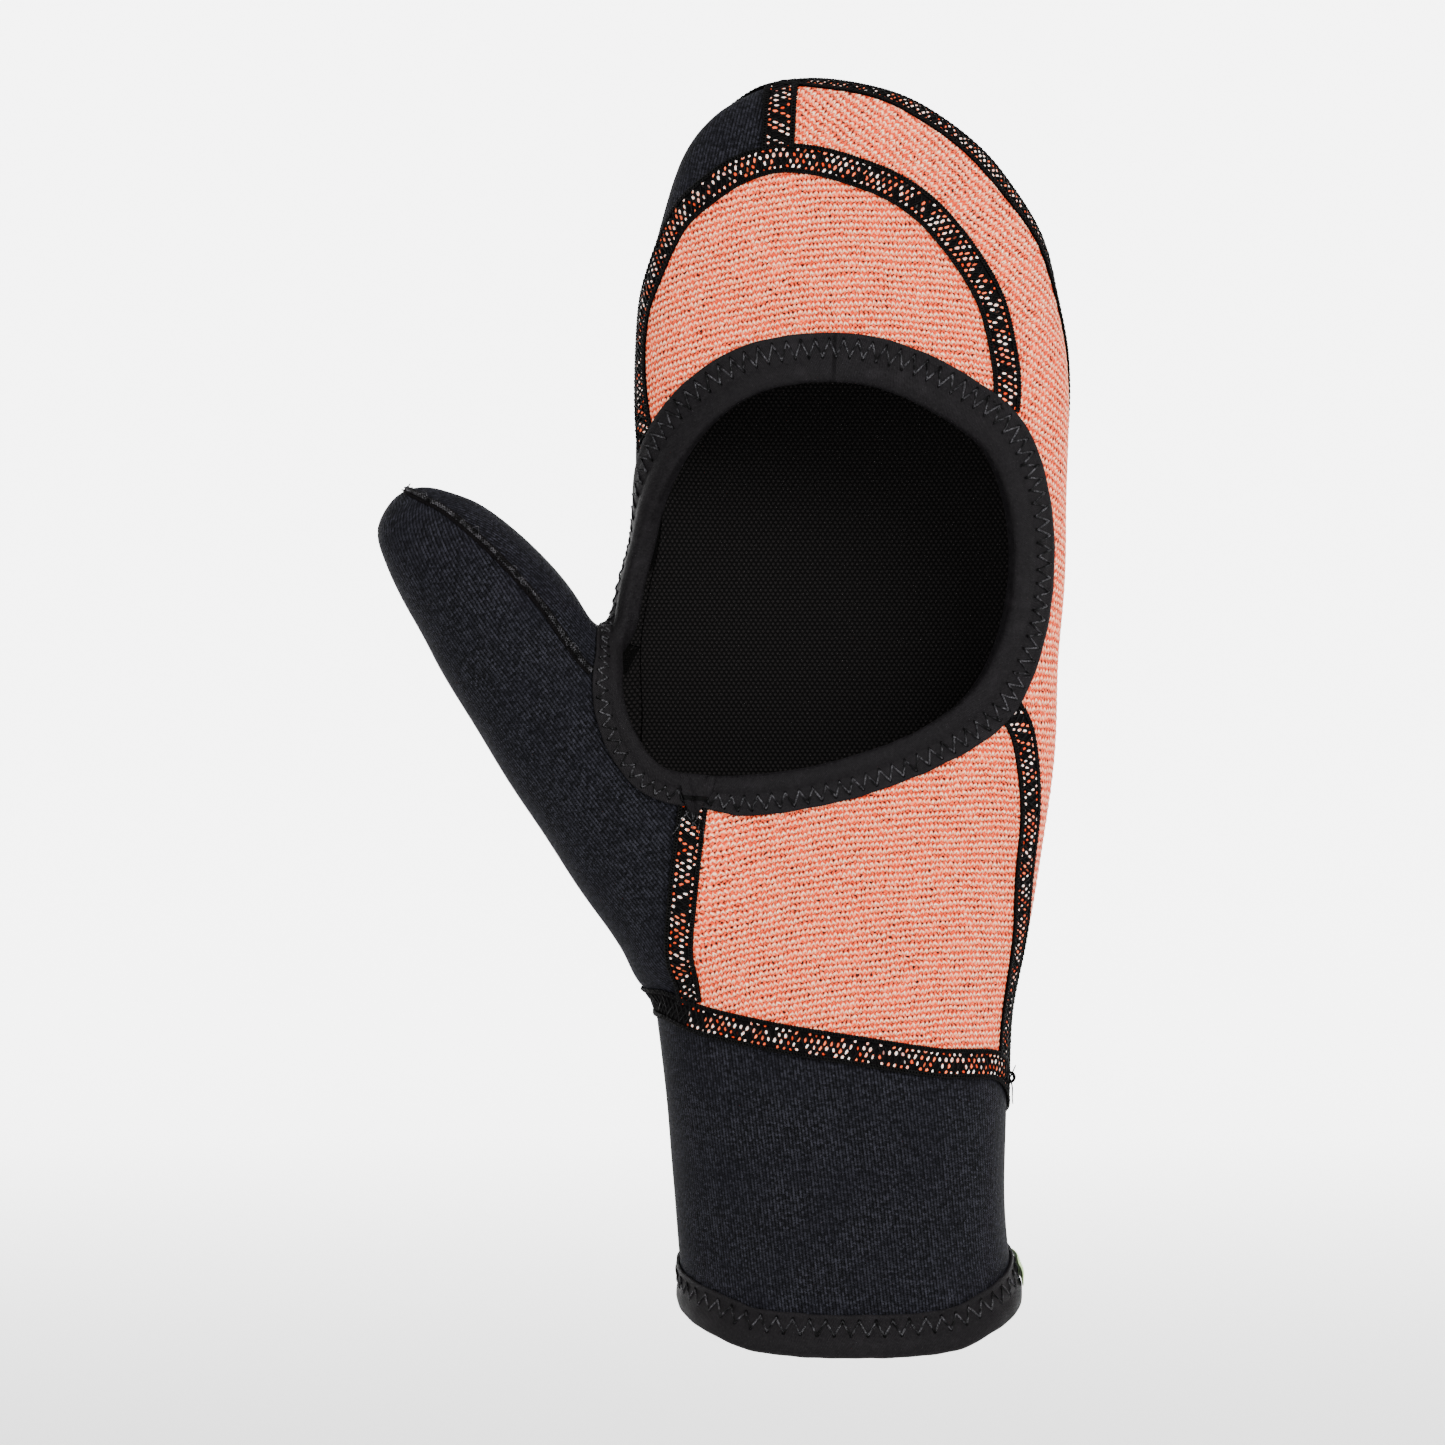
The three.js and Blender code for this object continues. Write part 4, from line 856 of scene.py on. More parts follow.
def seam_bed():
    """Black looping with drops of the cloth showing through the holes of the lattice."""
    f = Finish("seam_bed")
    u, v, shows, place = f.rows()
    fine = f.noise(place, 2.4)
    rank = (v + 0.667) / DOT_RANK
    near = (rank + 0.5).whole()
    run = u / DOT_PITCH - (near * 0.5).part()
    chance, hue, size = (f.speck(run + 0.5, rank + 0.5, seed) for seed in (5.0, 9.0, 13.0))
    beside = (rank - near) * DOT_RANK + (chance - 0.5) * 0.5
    ahead = ((run + 0.5).part() - 0.5) * DOT_PITCH + (hue - 0.5) * 0.3 + beside * (size - 0.3) * 0.7
    long = 0.24 + size * 0.3 + v.size().ramp(1.4, 1.1) * 0.18
    thick = 0.17 + chance * 0.2
    spread_out = (ahead / thick).power(2) + (beside / long).power(2) + (fine - 0.5) * 2.4
    dot = spread_out.ramp(1.2, 0.7) * chance.ramp(0.14, 0.24) * shows * v.size().ramp(2.6, 2.2)
    dark = f.blend(fine, paint(1, 1, 1), paint(14, 12, 13))
    pale = f.blend(hue.ramp(0.42, 0.54) * fine.ramp(0.3, 0.5), f.blend(size, DEEP_ORANGE, WARM_SALMON),
                   f.blend(fine.ramp(0.35, 0.55), ROSE, (1.0, 0.93, 0.88, 1.0)))
    f.look(f.blend(dot, dark, pale), 0.85, 0.03, fine + dot * 0.4, 0.0002)
    return f.material


def stitching_thread(name, low, high):
    f = Finish(name)
    fine, broad = (f.noise(f.object_place(), scale) for scale in (4200.0, 620.0))
    colour = f.blend(fine.ramp(0.35, 0.7) * broad.ramp(0.38, 0.62), low, high)
    f.look(colour, 0.45 + broad * 0.3, 0.06, fine, 0.00008)
    return f.material


def pale_label():
    f = Finish("pale_label")
    u, v, _, place = f.rows()
    fine = f.noise(place, 5.0)
    weave = (u * (HALF_TURN / 0.3)).sine() * (v * (HALF_TURN / 0.3)).sine()
    colour = f.blend(fine, paint(196, 206, 170), paint(232, 240, 216))
    colour = f.blend(v.size().ramp(0.7, 1.2) * 0.6, colour, paint(120, 168, 72))
    f.look(colour, 0.7 + fine * 0.2, 0.5, weave * 0.3 + fine, 0.0001)
    return f.material


SALMON = salmon_knit()
JERSEY = navy_jersey()
LINING = charcoal_lining()
TAPE = black_tape()
BED = seam_bed()
BLACK_THREAD = stitching_thread("black_thread", paint(0, 0, 0), paint(13, 12, 13))
# Near-black thread whose pale patches are painted glints.
DARK_THREAD_WITH_GLINTS = stitching_thread("dark_thread_with_painted_glints", paint(2, 2, 2), paint(74, 73, 76))
LABEL = pale_label()


def sewn(piece, material_slot, *cad_nodes):
    """The piece rides on the mitten, and stands for its solids."""
    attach(piece, "root")
    if cad_nodes:
        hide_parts(*cad_nodes)
    return piece


# Panels

def meets(line, other, end):
    """The share of a line's length where another line begins or ends."""
    return line.nearest(other.near([end])[0])


def share_by(line, row, on_thumb=False):
    return line.nearest(places([row], on_thumb)[0])


hole_tip_left, hole_tip_right, hole_side, hole_heel, hole_thumb, hole_web = (
    meets(hole, line, end) for line, end in
    ((tip_seam, 0), (tip_seam, 1), (side_seam, 0), (heel_seam, 0), (thumb_seam, 0), (web_seam, 0)))
wrist_heel, wrist_side, wrist_back_right, wrist_back_left, wrist_cuff = (
    meets(wrist_seam, line, end) for line, end in
    ((heel_seam, 1), (side_seam, 1), (back_seam, 1), (back_seam, 0), (cuff_seam, 0)))
hem_cuff = meets(hem, cuff_seam, 1)
back_split, back_web = (meets(back_seam, line, 1) for line in (split_seam, web_seam))
back_left, back_right = (share_by(back_seam, row) for row in ((-0.7, 0.919, 0.06), (0.768, 0.895, -0.42)))
tip_split = meets(tip_seam, split_seam, 0)
tip_left, tip_right = (share_by(tip_seam, row) for row in ((-0.83, 0.857), (0.584, 0.837)))
thumb_front, thumb_back = (share_by(thumb_seam, row, True) for row in ((0.867, 0.381), (0.9, 0.2, BACK)))


def make_panel(name, cloth, rows, flat, area, *sides):
    relief, slot_name, finish = cloth
    piece = cloth_solid(name + "_cloth", patch(*sides), relief, rows, [finish, LINING])
    sewn(piece, slot_name, name)


def make_panels():
    salmon, navy = (ribbed, "salmon_knit", SALMON), (smooth_cloth, "navy_jersey", JERSEY)
    across = THUMB_ACROSS * HALF_THUMB
    make_panel("finger_palm_panel", salmon, bowed_rows(0.00375, 5.3), (0.082, 0.066), 0.00369,
               along(hole, hole_tip_left, hole_tip_right), along(tip_seam, tip_left, tip_right),
               along(tip_seam, 0, tip_left), back(along(tip_seam, tip_right)), 22, 46)
    make_panel("index_side_panel", navy, index_rows, (0.046, 0.140), 0.00226,
               along(web_seam), along(split_seam),
               along(hole, hole_web, hole_tip_left) + along(tip_seam, 0, tip_split),
               back(along(back_seam, back_split, back_web)), 7, 36)
    make_panel("outer_side_panel", salmon, outer_rows, (0.070, 0.240), 0.00547,
               along(wrist_seam, wrist_side, wrist_back_right), along(split_seam),
               back(along(tip_seam, tip_split) + along(hole, hole_tip_right, hole_side) + along(side_seam)),
               back(along(back_seam, back_split)), 14, 146)
    make_panel("palm_heel_panel", salmon, bowed_rows(0.0024, 29), (0.084, 0.082), 0.00506,
               along(wrist_seam, wrist_heel, wrist_side), back(along(hole, hole_side, hole_heel)),
               back(along(heel_seam)), back(along(side_seam)), 22, 57)
    make_panel("back_panel", salmon, back_rows, (0.118, 0.236), 0.01993,
               back(along(wrist_seam, wrist_back_right, wrist_back_left)),
               along(back_seam, back_left, back_right), along(back_seam, 0, back_left),
               back(along(back_seam, back_right)), 27, 160, (0, HALF_DEPTH / 2, 0))
    make_panel("thumb_outer_panel", navy, thumb_rows(-1, 8), (0.092, 0.150), 0.00737,
               back(along(wrist_seam, wrist_back_left, wrist_heel)),
               along(thumb_seam, thumb_front, thumb_back),
               back(along(thumb_seam, thumb_front, 0) + back(along(hole, hole_heel, hole_thumb))
                    + along(heel_seam)),
               back(along(thumb_seam, thumb_back) + along(back_seam, back_web, 0)), 24, 40, across * -1.7)
    make_panel("thumb_inner_panel", navy, thumb_rows(1, -8), (0.046, 0.062), 0.0015,
               along(hole, hole_thumb, hole_web) + along(web_seam),
               along(thumb_seam, thumb_front, thumb_back), along(thumb_seam, 0, thumb_front),
               back(along(thumb_seam, thumb_back)), 16, 14, across * 0.4)
    make_panel("cuff", navy, cuff_rows, (0.250, 0.064), 0.01044, along(hem, hem_cuff, hem_cuff + 1),
               along(wrist_seam, wrist_cuff, wrist_cuff + 1), back(along(cuff_seam)),
               back(along(cuff_seam)), 66, 15)


# Threads that follow a rail of points, as trees of Geometry Nodes

def new_tree(name, inputs):
    """A tree with these number inputs, and its sockets and numbers by their names."""
    tree = bpy.data.node_groups.new(name, "GeometryNodeTree")
    tree.interface.new_socket("Geometry", in_out="INPUT", socket_type="NodeSocketGeometry")
    for key in inputs:
        tree.interface.new_socket(key, in_out="INPUT", socket_type="NodeSocketFloat")
    tree.interface.new_socket("Material", in_out="INPUT", socket_type="NodeSocketMaterial")
    tree.interface.new_socket("Geometry", in_out="OUTPUT", socket_type="NodeSocketGeometry")
    sockets = {s.name: s for s in tree.nodes.new("NodeGroupInput").outputs}
    return tree, sockets, {key: Number(tree, sockets[key]) for key in inputs}


def finish_tree(tree, geometry, material):
    real = node(tree, "GeometryNodeRealizeInstances", None, {"Geometry": geometry})
    dyed = node(tree, "GeometryNodeSetMaterial", None, {"Geometry": real.outputs[0], "Material": material})
    node(tree, "NodeGroupOutput", None, {0: dyed.outputs[0]})


def thread_tree():
    """One thread that swings from side to side of its rail, held off the cloth."""
    tree, socket, number = new_tree(
        "thread", ("Pitch", "Width", "Offset", "Lift", "Lift Swing", "Phase", "Step", "Radius"))

    def held(key, kind):
        read = node(tree, "GeometryNodeInputNamedAttribute", {"data_type": kind}, {"Name": key})
        return read.outputs["Attribute"]

    def scaled(key, amount):
        return node(tree, "ShaderNodeVectorMath", {"operation": "SCALE"},
                    {0: held(key, "FLOAT_VECTOR"), "Scale": amount}).outputs[0]
    rail = node(tree, "GeometryNodeMeshToCurve", None, {0: socket["Geometry"]})
    points = node(tree, "GeometryNodeResampleCurve", {"mode": "LENGTH"},
                  {"Curve": rail.outputs[0], "Length": socket["Step"]})
    run = Number(tree, node(tree, "GeometryNodeSplineParameter").outputs["Length"])
    turns = run / number["Pitch"] + number["Phase"]
    aside = number["Offset"] + ((turns * 2).swing() - 0.5) * number["Width"]
    height = number["Lift"] + (turns * TWO_TURNS).sine() * number["Lift Swing"] \
        - Number(tree, held("fall", "FLOAT")) * aside * aside
    move = node(tree, "ShaderNodeVectorMath", {"operation": "ADD"},
                {0: scaled("side", aside), 1: scaled("out", height)})
    moved = node(tree, "GeometryNodeSetPosition", None,
                 {"Geometry": points.outputs[0], "Offset": move.outputs[0]})
    ring = node(tree, "GeometryNodeCurvePrimitiveCircle", {"mode": "RADIUS"},
                {"Resolution": THREAD_SIDES, "Radius": socket["Radius"]})
    tube = node(tree, "GeometryNodeCurveToMesh", None,
                {"Curve": moved.outputs[0], "Profile Curve": ring.outputs[0], "Fill Caps": True})
    finish_tree(tree, tube.outputs[0], socket["Material"])
    return tree


THREAD = thread_tree()


def stitches_tree(name, threads, *inputs):
    """Several threads on one rail. threads gives each one's inputs from the whole tree's numbers."""
    tree, socket, number = new_tree(name, inputs)
    joined = node(tree, "GeometryNodeJoinGeometry")
    shared = {"Geometry": socket["Geometry"], "Material": socket["Material"]}
    for values in threads(number):
        one = node(tree, "GeometryNodeGroup", {"node_tree": THREAD}, {**values, **shared})
        tree.links.new(one.outputs[0], joined.inputs[0])
    finish_tree(tree, joined.outputs[0], socket["Material"])
    return tree


def strand(n, pitch, steps, width, lift, swing, phase, offset=0.0, thick=1.0):
    """One thread's inputs. width and offset are shares of the width, lift, swing and thick of the radius."""
    return {"Pitch": n[pitch], "Width": n["Width"] * width, "Offset": n["Width"] * offset, "Phase": phase,
            "Lift": n["Lift"] + n["Radius"] * lift, "Lift Swing": n["Radius"] * swing,
            "Step": n[pitch] / steps, "Radius": n["Radius"] * thick}


def flatlock_threads(n):
    lattice = [strand(n, "Pitch", 12, LATTICE_WIDTH / SEAM_WIDTH, 0.2 * k, 0.5, k / 3, 0.0, 1.1)
               for k in range(3)]
    return lattice + [strand(n, "Edge Pitch", 4, 0.22, 0.1 + 0.5 * k, 0.4, k * 0.5 + 0.1 * side, 0.42 * side,
                             1.2) for side in (-1, 1) for k in range(2)]


def ridge_threads(n):
    return [strand(n, "Pitch", 4, 1.0, 0.4 * k, 0.6, k * 0.5) for k in range(2)]


def zigzag_threads(n):
    return [strand(n, "Pitch", 12, 1 - 0.06 * k, -0.3 * k, 0.5, 0.012 * k) for k in range(2)]


SIZES = "Pitch", "Width", "Lift", "Radius"
FLATLOCK = stitches_tree("flatlock stitches", flatlock_threads, "Edge Pitch", *SIZES)
RIDGE = stitches_tree("ridge stitches", ridge_threads, *SIZES)
ZIGZAG = stitches_tree("zigzag stitches", zigzag_threads, *SIZES)


def rail_object(name, points, side, out, fall):
    mesh = bpy.data.meshes.new(name)
    mesh.from_pydata((points * MM).tolist(), [(k, k + 1) for k in range(len(points) - 1)], [])
    give(mesh, "side", side)
    give(mesh, "out", out)
    give(mesh, "fall", fall / MM)
    return placed(name, mesh)


def stitched(name, tree, rail, material, **sizes):
    """The threads along a rail, as one plain mesh. sizes are in millimetres."""
    modifier = rail.modifiers.new("stitches", "NODES")
    modifier.node_group = tree
    keys = {s.name: s.identifier for s in tree.interface.items_tree if s.in_out == "INPUT"}
    for key, value in sizes.items():
        modifier[keys[key.replace("_", " ")]] = value * MM
    modifier[keys["Material"]] = material
    ready = rail.evaluated_get(bpy.context.evaluated_depsgraph_get())
    mesh = bpy.data.meshes.new_from_object(ready)
    mesh.name = name
    rail.modifiers.remove(modifier)
    bpy.data.objects.remove(rail)
    smoothed(mesh)
    return placed(name, mesh)


# Flatlock seams

def trimmed(line, first, last):
    """The shares of a line's length where it leaves its first line and reaches its last one."""
    ts = np.linspace(0, 1, 361)
    points = line.near(ts)
    start = ts[np.argmax(first[0].distance(points) > first[1])]
    end = ts[::-1][np.argmax(last[0].distance(points)[::-1] > last[1])]
    return start, end


def spread(line, ts, width, columns):
    """Rows of points across the line at each station, over the cloth."""
    middle, side = line.at(ts), line.sideways(ts)
    left, right = (walk(middle, way, width / 2, columns // 2) for way in (-side, side))
    return np.concatenate([left[::-1], right[1:]]).transpose(1, 0, 2)


def strip(name, grid, heights, low, run, across, shows, closed):
    """A closed band over the cloth: rows of points, its top at heights and its underside at low."""
    n = normals(grid)
    top = grid + n * heights[..., None]
    under = grid[:, ::2] + n[:, ::2] * low
    up = numbers(top)
    down = numbers(under, up.size)
    if closed:
        up, down = (np.concatenate([at, at[:1]]) for at in (up, down))
    faces = shell(up, down)
    if not closed:
        faces.append([down[0].tolist()[::-1] + up[0].tolist(), up[-1].tolist()[::-1] + down[-1].tolist()])
    place = np.stack(np.broadcast_arrays(run[:, None], across[None], shows[:, None]), axis=-1)
    return meshed(name, [top, under], faces, [BED], [place, place[:, ::2]])


def rail_ways(points, closed):
    """The ways across a line of points and off the cloth there."""
    if closed:
        points[-1] = points[0]
        ends = points[1:2] - points[-2:-1]
        tangent = np.concatenate([ends, points[2:] - points[:-2], ends])
    else:
        tangent = np.gradient(points, axis=0)
    out = normals(points)
    return unit(np.cross(unit(tangent), out)), out


def rail_along(line, ts):
    """Points along a line, the ways across and off the cloth there, and how fast the cloth falls away."""
    points = line.at(ts)
    side, out = rail_ways(points, line.closed)
    beside = [settle(points + side * k, 3) for k in (-FALL_REACH, FALL_REACH)]
    fall = sum(((points - p) * out).sum(-1) for p in beside) / 2 / FALL_REACH ** 2
    return points, side, out, np.clip(fall, -0.08, 0.08)


def make_seam(name, line, width, first, last, shows, ridge=False):
    """shows gives how far the pale cloth shows through at each station, from 0 to 1."""
    start, end = (0.0, 1.0) if line.closed else trimmed(line, first, last)
    length = (end - start) * line.length

    def fitted(pitch):
        return length / max(round(length / pitch), 1)

    def stations(step):
        count = max(int(round(length / step)), 2)
        return start + (end - start) * np.arange(count + 1) / count
    pitch = fitted(DOT_PITCH * 3)
    ts = stations(BED_STEP)[:-1] if line.closed else stations(BED_STEP)
    grid = spread(line, ts, width, BED_COLUMNS)
    across = np.linspace(-width / 2, width / 2, BED_COLUMNS)
    edge = 1 - (2 * np.abs(across) / width) ** (2 if ridge else 6)
    heights = np.full(grid.shape[:2], BED_EDGE) + edge * (0.3 if ridge else SEAM_BED)
    run = (ts - start) * line.length * (DOT_PITCH * 3 / pitch)
    bed = strip(name + "_bed", grid, heights, BED_UNDER, run, across * SEAM_WIDTH / width, shows(ts),
                line.closed)
    sewn(bed, "black_thread", name)

    rail = rail_object(name, *rail_along(line, stations(RAIL_STEP)))
    if ridge:
        threads = stitched(name + "_thread", RIDGE, rail, DARK_THREAD_WITH_GLINTS, Pitch=fitted(1.3), Width=1.0,
                           Lift=0.58, Radius=0.19)
    else:
        threads = stitched(name + "_thread", FLATLOCK, rail, BLACK_THREAD, Pitch=pitch,
                           Edge_Pitch=fitted(1.35), Width=width, Lift=0.5, Radius=0.2)
    sewn(threads, "black_thread", name)


def make_seams():
    by_hole, by_heel = (hole, BINDING_WIDTH - 1.5), (hole, BINDING_WIDTH * THUMB_SIDE_BINDING_SHARE)
    by_hem = (hem, BINDING_WIDTH * HEM_BINDING_SHARE - 1.5)
    by_back, by_tip, by_wrist = ((line, SEAM_WIDTH * 0.42) for line in (back_seam, tip_seam, wrist_seam))
    off_back = (back_seam, SEAM_WIDTH * 1.6)

    def pale(ts):
        return 1 + 0 * ts

    def black(ts):
        return 0 * ts

    def beside_salmon(ts):
        """The wrist seam is black between the thumb and the cuff."""
        dark = np.mod(wrist_heel - wrist_back_left, 1)
        return (np.mod(ts - wrist_back_left, 1) > dark).astype(float)
    for name, line, width, *rest in (
            ("tip_seam", tip_seam, SEAM_WIDTH, by_hole, by_hole, pale),
            ("split_seam", split_seam, SEAM_WIDTH * 1.12, by_tip, by_back, pale),
            ("back_seam", back_seam, SEAM_WIDTH, by_wrist, by_wrist, pale),
            ("side_seam", side_seam, SEAM_WIDTH, by_hole, by_wrist, pale),
            ("heel_seam", heel_seam, SEAM_WIDTH, by_heel, by_wrist, pale),
            ("wrist_seam", wrist_seam, SEAM_WIDTH, None, None, beside_salmon),
            ("cuff_seam", cuff_seam, SEAM_WIDTH, by_wrist, by_hem, black),
            ("thumb_seam", thumb_seam, RIDGE_WIDTH, by_heel, off_back, black, True)):
        make_seam(name, line, width, *rest)


# Edge bindings

def hole_share(t):
    """The width of the palm tape as a share, narrow on the thumb's side and along the heel."""
    end = hole_web if hole_web > hole_heel else hole_web + 1
    middle = (hole_heel + end) / 2
    reach = (end - hole_heel) / 2 + 0.06
    away = np.abs(np.mod(t - middle + 0.5, 1) - 0.5) / reach
    share = THUMB_SIDE_BINDING_SHARE + (1 - THUMB_SIDE_BINDING_SHARE) * ease((away - 0.55) / 0.45)
    on_heel = np.mod(t - hole_side, 1) / np.mod(hole_heel - hole_side, 1)
    return np.minimum(share, np.interp(on_heel, [0, 0.1, 0.25, 1.0, 1.2], [1, 0.93, 0.81, 0.8, 1]))


# The tape's section from its raw outer edge, over the rolled edge, to its inner edge: the reach from the
# cloth's edge as a share of the width, and the height over the cloth
TAPE_TOP = [
    (1.0, 0.3), (1.0, 0.7), (0.985, 0.82), (0.93, 0.86), (0.87, 0.84), (0.8, 0.72), (0.76, 0.74),
    (0.7, 0.86), (0.6, 0.9), (0.5, 0.88), (0.42, 0.8), (0.38, 0.82), (0.33, 1.02), (0.26, 1.26),
    (0.18, 1.42), (0.1, 1.46), (0.03, 1.36),
]


def zigzag_rail(name, line, share_at, zigzag_pitch):
    """The zigzag's rail and pitch, and the turns it has made at each share of the line's length."""
    count = int(line.length / ZIGZAG_STEP)
    ts = np.arange(count + 1) / count
    edge, share = line.at(ts), share_at(ts)
    p = walk(edge, -line.sideways(ts), ZIGZAG_REACH * BINDING_WIDTH * share, 8)[-1]
    side, out = rail_ways(p, True)
    side = side * (np.sign((side * (p - edge)).sum(-1)) * share)[:, None]
    run = np.concatenate([[0], np.cumsum(np.linalg.norm(np.diff(p, axis=0), axis=1))])
    pitch = run[-1] / round(run[-1] / zigzag_pitch)
    rail = rail_object(name, p, side, out, np.full(len(p), 0.008))
    return rail, pitch, (ts, run / pitch)


def make_binding(name, line, share_at, zigzag_pitch):
    count = int(line.length / TAPE_STEP)
    ts = np.arange(count) / count
    rail, pitch, turns_at = zigzag_rail(name, line, share_at, zigzag_pitch)
    turns = np.interp(ts, *turns_at)
    share = share_at(ts)
    edge, side = line.at(ts), -line.sideways(ts)
    n = normals(edge)
    steps = 24
    outer = walk(edge, side, BINDING_WIDTH, steps)
    outer_normals = normals(outer)
    run = ts * line.length
    wave = 0.05 * np.sin(run / 2.1 + 0.4) * np.sin(run / 5.3) + 0.035 * np.sin(run / 0.93)
    ragged = 0.12 * np.sin(run / 1.7) * np.sin(run / 4.1 + 1)

    def over(reach, height):
        at = np.clip(reach, 0, BINDING_WIDTH) / BINDING_WIDTH * steps
        i = np.minimum(at.astype(int), steps - 1)
        f = (at - i)[:, None]
        k = np.arange(count)
        p = outer[i, k] * (1 - f) + outer[i + 1, k] * f
        m = unit(outer_normals[i, k] * (1 - f) + outer_normals[i + 1, k] * f)
        return p + m * np.broadcast_to(height, (count,))[:, None]

    def beyond(reach, height):
        reach, height = (np.broadcast_to(x, (count,))[:, None] for x in (reach, height))
        return edge - side * reach + n * height
    section = [(over(reach * BINDING_WIDTH * share + ragged * (reach > 0.97),
                     height + wave * (1 if reach < 0.4 else 0.4)), reach * BINDING_WIDTH)
               for reach, height in TAPE_TOP]
    section += [(beyond((1.45 + wave) * np.cos(angle), 1.42 * np.sin(angle) - 0.05), angle - 2.2)
                for angle in np.radians([62, 36, 10, -14])]
    section += [(beyond(1.38 + wave + (height + 1.2) * 0.06, height), height - 1.6)
                for height in (-1.2, -1.9, -2.5)]
    section += [(beyond(1.3 * np.cos(angle), -WALL - 1.3 * np.sin(angle)), -4.2 - angle)
                for angle in np.radians([25, 60])]
    inner = BINDING_INNER_WIDTH * share
    section += [(over(reach * inner, height - WALL), -6.5 - reach * inner) for reach, height in
                ((0.04, -1.45), (0.3, -1.32), (0.6, -1.0), (0.95, -0.95), (1.0, -0.75), (0.98, -0.3),
                 (0.5, -0.3), (0.04, -0.3))]
    section += [(beyond(0.45, -WALL), -3.0), (beyond(0.45, 0.0), -1.0), (over(0.04 * share, 0.3), 0),
                (over(4.0 * share, 0.3), 4.0 * share)]
    points = np.stack([ring for ring, way in section], axis=1)
    way = np.stack([way + 0 * ts for ring, way in section], axis=1)
    place = np.stack(np.broadcast_arrays(run[:, None], way, turns[:, None]), axis=-1)
    at = numbers(points)
    at = np.concatenate([at, at[:1]])
    at = np.concatenate([at, at[:, :1]], axis=1)
    tape = meshed(name + "_tape", [points], [cells(at)], [TAPE], [place], sharp=75)
    sewn(tape, "black_binding", name)
    threads = stitched(name + "_zigzag", ZIGZAG, rail, DARK_THREAD_WITH_GLINTS, Pitch=pitch, Width=ZIGZAG_WIDTH,
                       Lift=0.98, Radius=0.2)
    sewn(threads, "black_thread", name)


# The folded end of the tape, the label and the loose threads

def tab_sheet(piece_name, line, t, rows, columns, low, thickness, crease, material, slot_name, name):
    """A small sheet on the cloth by an edge. rows give the reach from the edge, width, shift and lift."""
    edge, side = line.at([t]), -line.sideways([t])
    way = unit(np.cross(side, normals(edge)))
    across = np.linspace(-0.5, 0.5, columns)
    grid, heights = [], []
    for reach, width, shift, lift in rows:
        p = walk(edge, side, reach, 6)[-1]
        moves = [k * width + shift for k in across]
        grid.append([walk(p, way * np.sign(move + 1e-9), abs(move) + 1e-6, 4)[-1][0] for move in moves])
        heights.append([low + lift + crease(reach, k) for k in across])
    grid, heights = np.array(grid), np.array(heights)
    n = normals(grid)
    up = numbers(grid)
    down = up + up.size
    ends = (up[0], down[0]), (down[-1], up[-1])
    faces = shell(up, down) + [cells(np.stack(end, axis=1)) for end in ends]
    reach = np.array([row[0] for row in rows])
    place = np.stack(np.broadcast_arrays(across[None] * 7, reach[:, None], 0.0), axis=-1)
    made = meshed(piece_name, [grid + n * (heights + thickness)[..., None], grid + n * heights[..., None]],
                  faces, [material], [place, place], sharp=60)
    soft = made.modifiers.new("soft", "SUBSURF")
    soft.levels = soft.render_levels = 2
    sewn(made, slot_name, name)


def make_flap():
    rows = [(-1.2, 8.6, 0, -0.5), (-0.4, 8.4, 0, 0.0), (0.8, 8.0, 0, 0.1), (2.2, 7.2, 0, 0.05),
            (3.8, 6.0, 0.1, -0.1), (5.2, 4.6, 0.2, -0.3), (6.6, 3.2, 0.3, -0.45), (8.0, 1.9, 0.3, -0.5),
            (9.2, 0.9, 0.2, -0.55)]

    def crease(reach, k):
        fold = 0.35 * math.sin(k * 9 + reach * 0.8)
        for middle in (0.05 * reach - 0.16, 0.27 - 0.04 * reach):
            fold = fold - 0.55 * (1 - reach / 12) * math.exp(-((k - middle) / 0.06) ** 2)
        return fold - 0.5 * (2 * k) ** 4
    tab_sheet("binding_flap_tape", hole, hole_heel, rows, 21, 1.5, 0.5, crease, TAPE, "black_binding",
              "binding_flap")


def make_label():
    width = BINDING_WIDTH * HEM_BINDING_SHARE
    rows = [(width * k, 11.5, 0, lift) for k, lift in
            ((0.1, 0.0), (0.25, 0.25), (0.4, 0.5), (0.55, 0.55), (0.68, 0.35), (0.8, 0.05))]
    tab_sheet("hem_label_fold", hem, share_by(hem, (0.81, -0.034, 0.12)), rows, 9, 1.55, 0.4,
              lambda reach, k: 0.12 * math.sin(k * 8 + reach), LABEL, "pale_label", "hem_label")


def tubes(name, strands, radius, material, node_name):
    """Thin bent threads, each through its own points."""
    parts, faces, first = [], [], 0
    angle = np.arange(THREAD_SIDES)[:, None] / THREAD_SIDES * 2 * np.pi
    for points in strands:
        path = Line(np.array(points, dtype=float))
        count = max(int(path.length / 0.35), 4)
        p = path.near(np.linspace(0, 1, count + 1))
        tangent = unit(np.gradient(p, axis=0))
        a = unit(np.cross(tangent, [0.3, 0.9, 0.31]))
        b = np.cross(tangent, a)
        thin = np.linspace(1, 0.6, count + 1)[:, None, None] * radius
        ring = p[:, None] + thin * (a[:, None] * np.cos(angle) + b[:, None] * np.sin(angle))
        at = numbers(ring, first)
        first += at.size
        faces += [cells(np.concatenate([at, at[:, :1]], axis=1).T), [at[0].tolist()[::-1], at[-1].tolist()]]
        parts.append(ring)
    sewn(meshed(name, parts, faces, [material]), "black_thread", node_name)


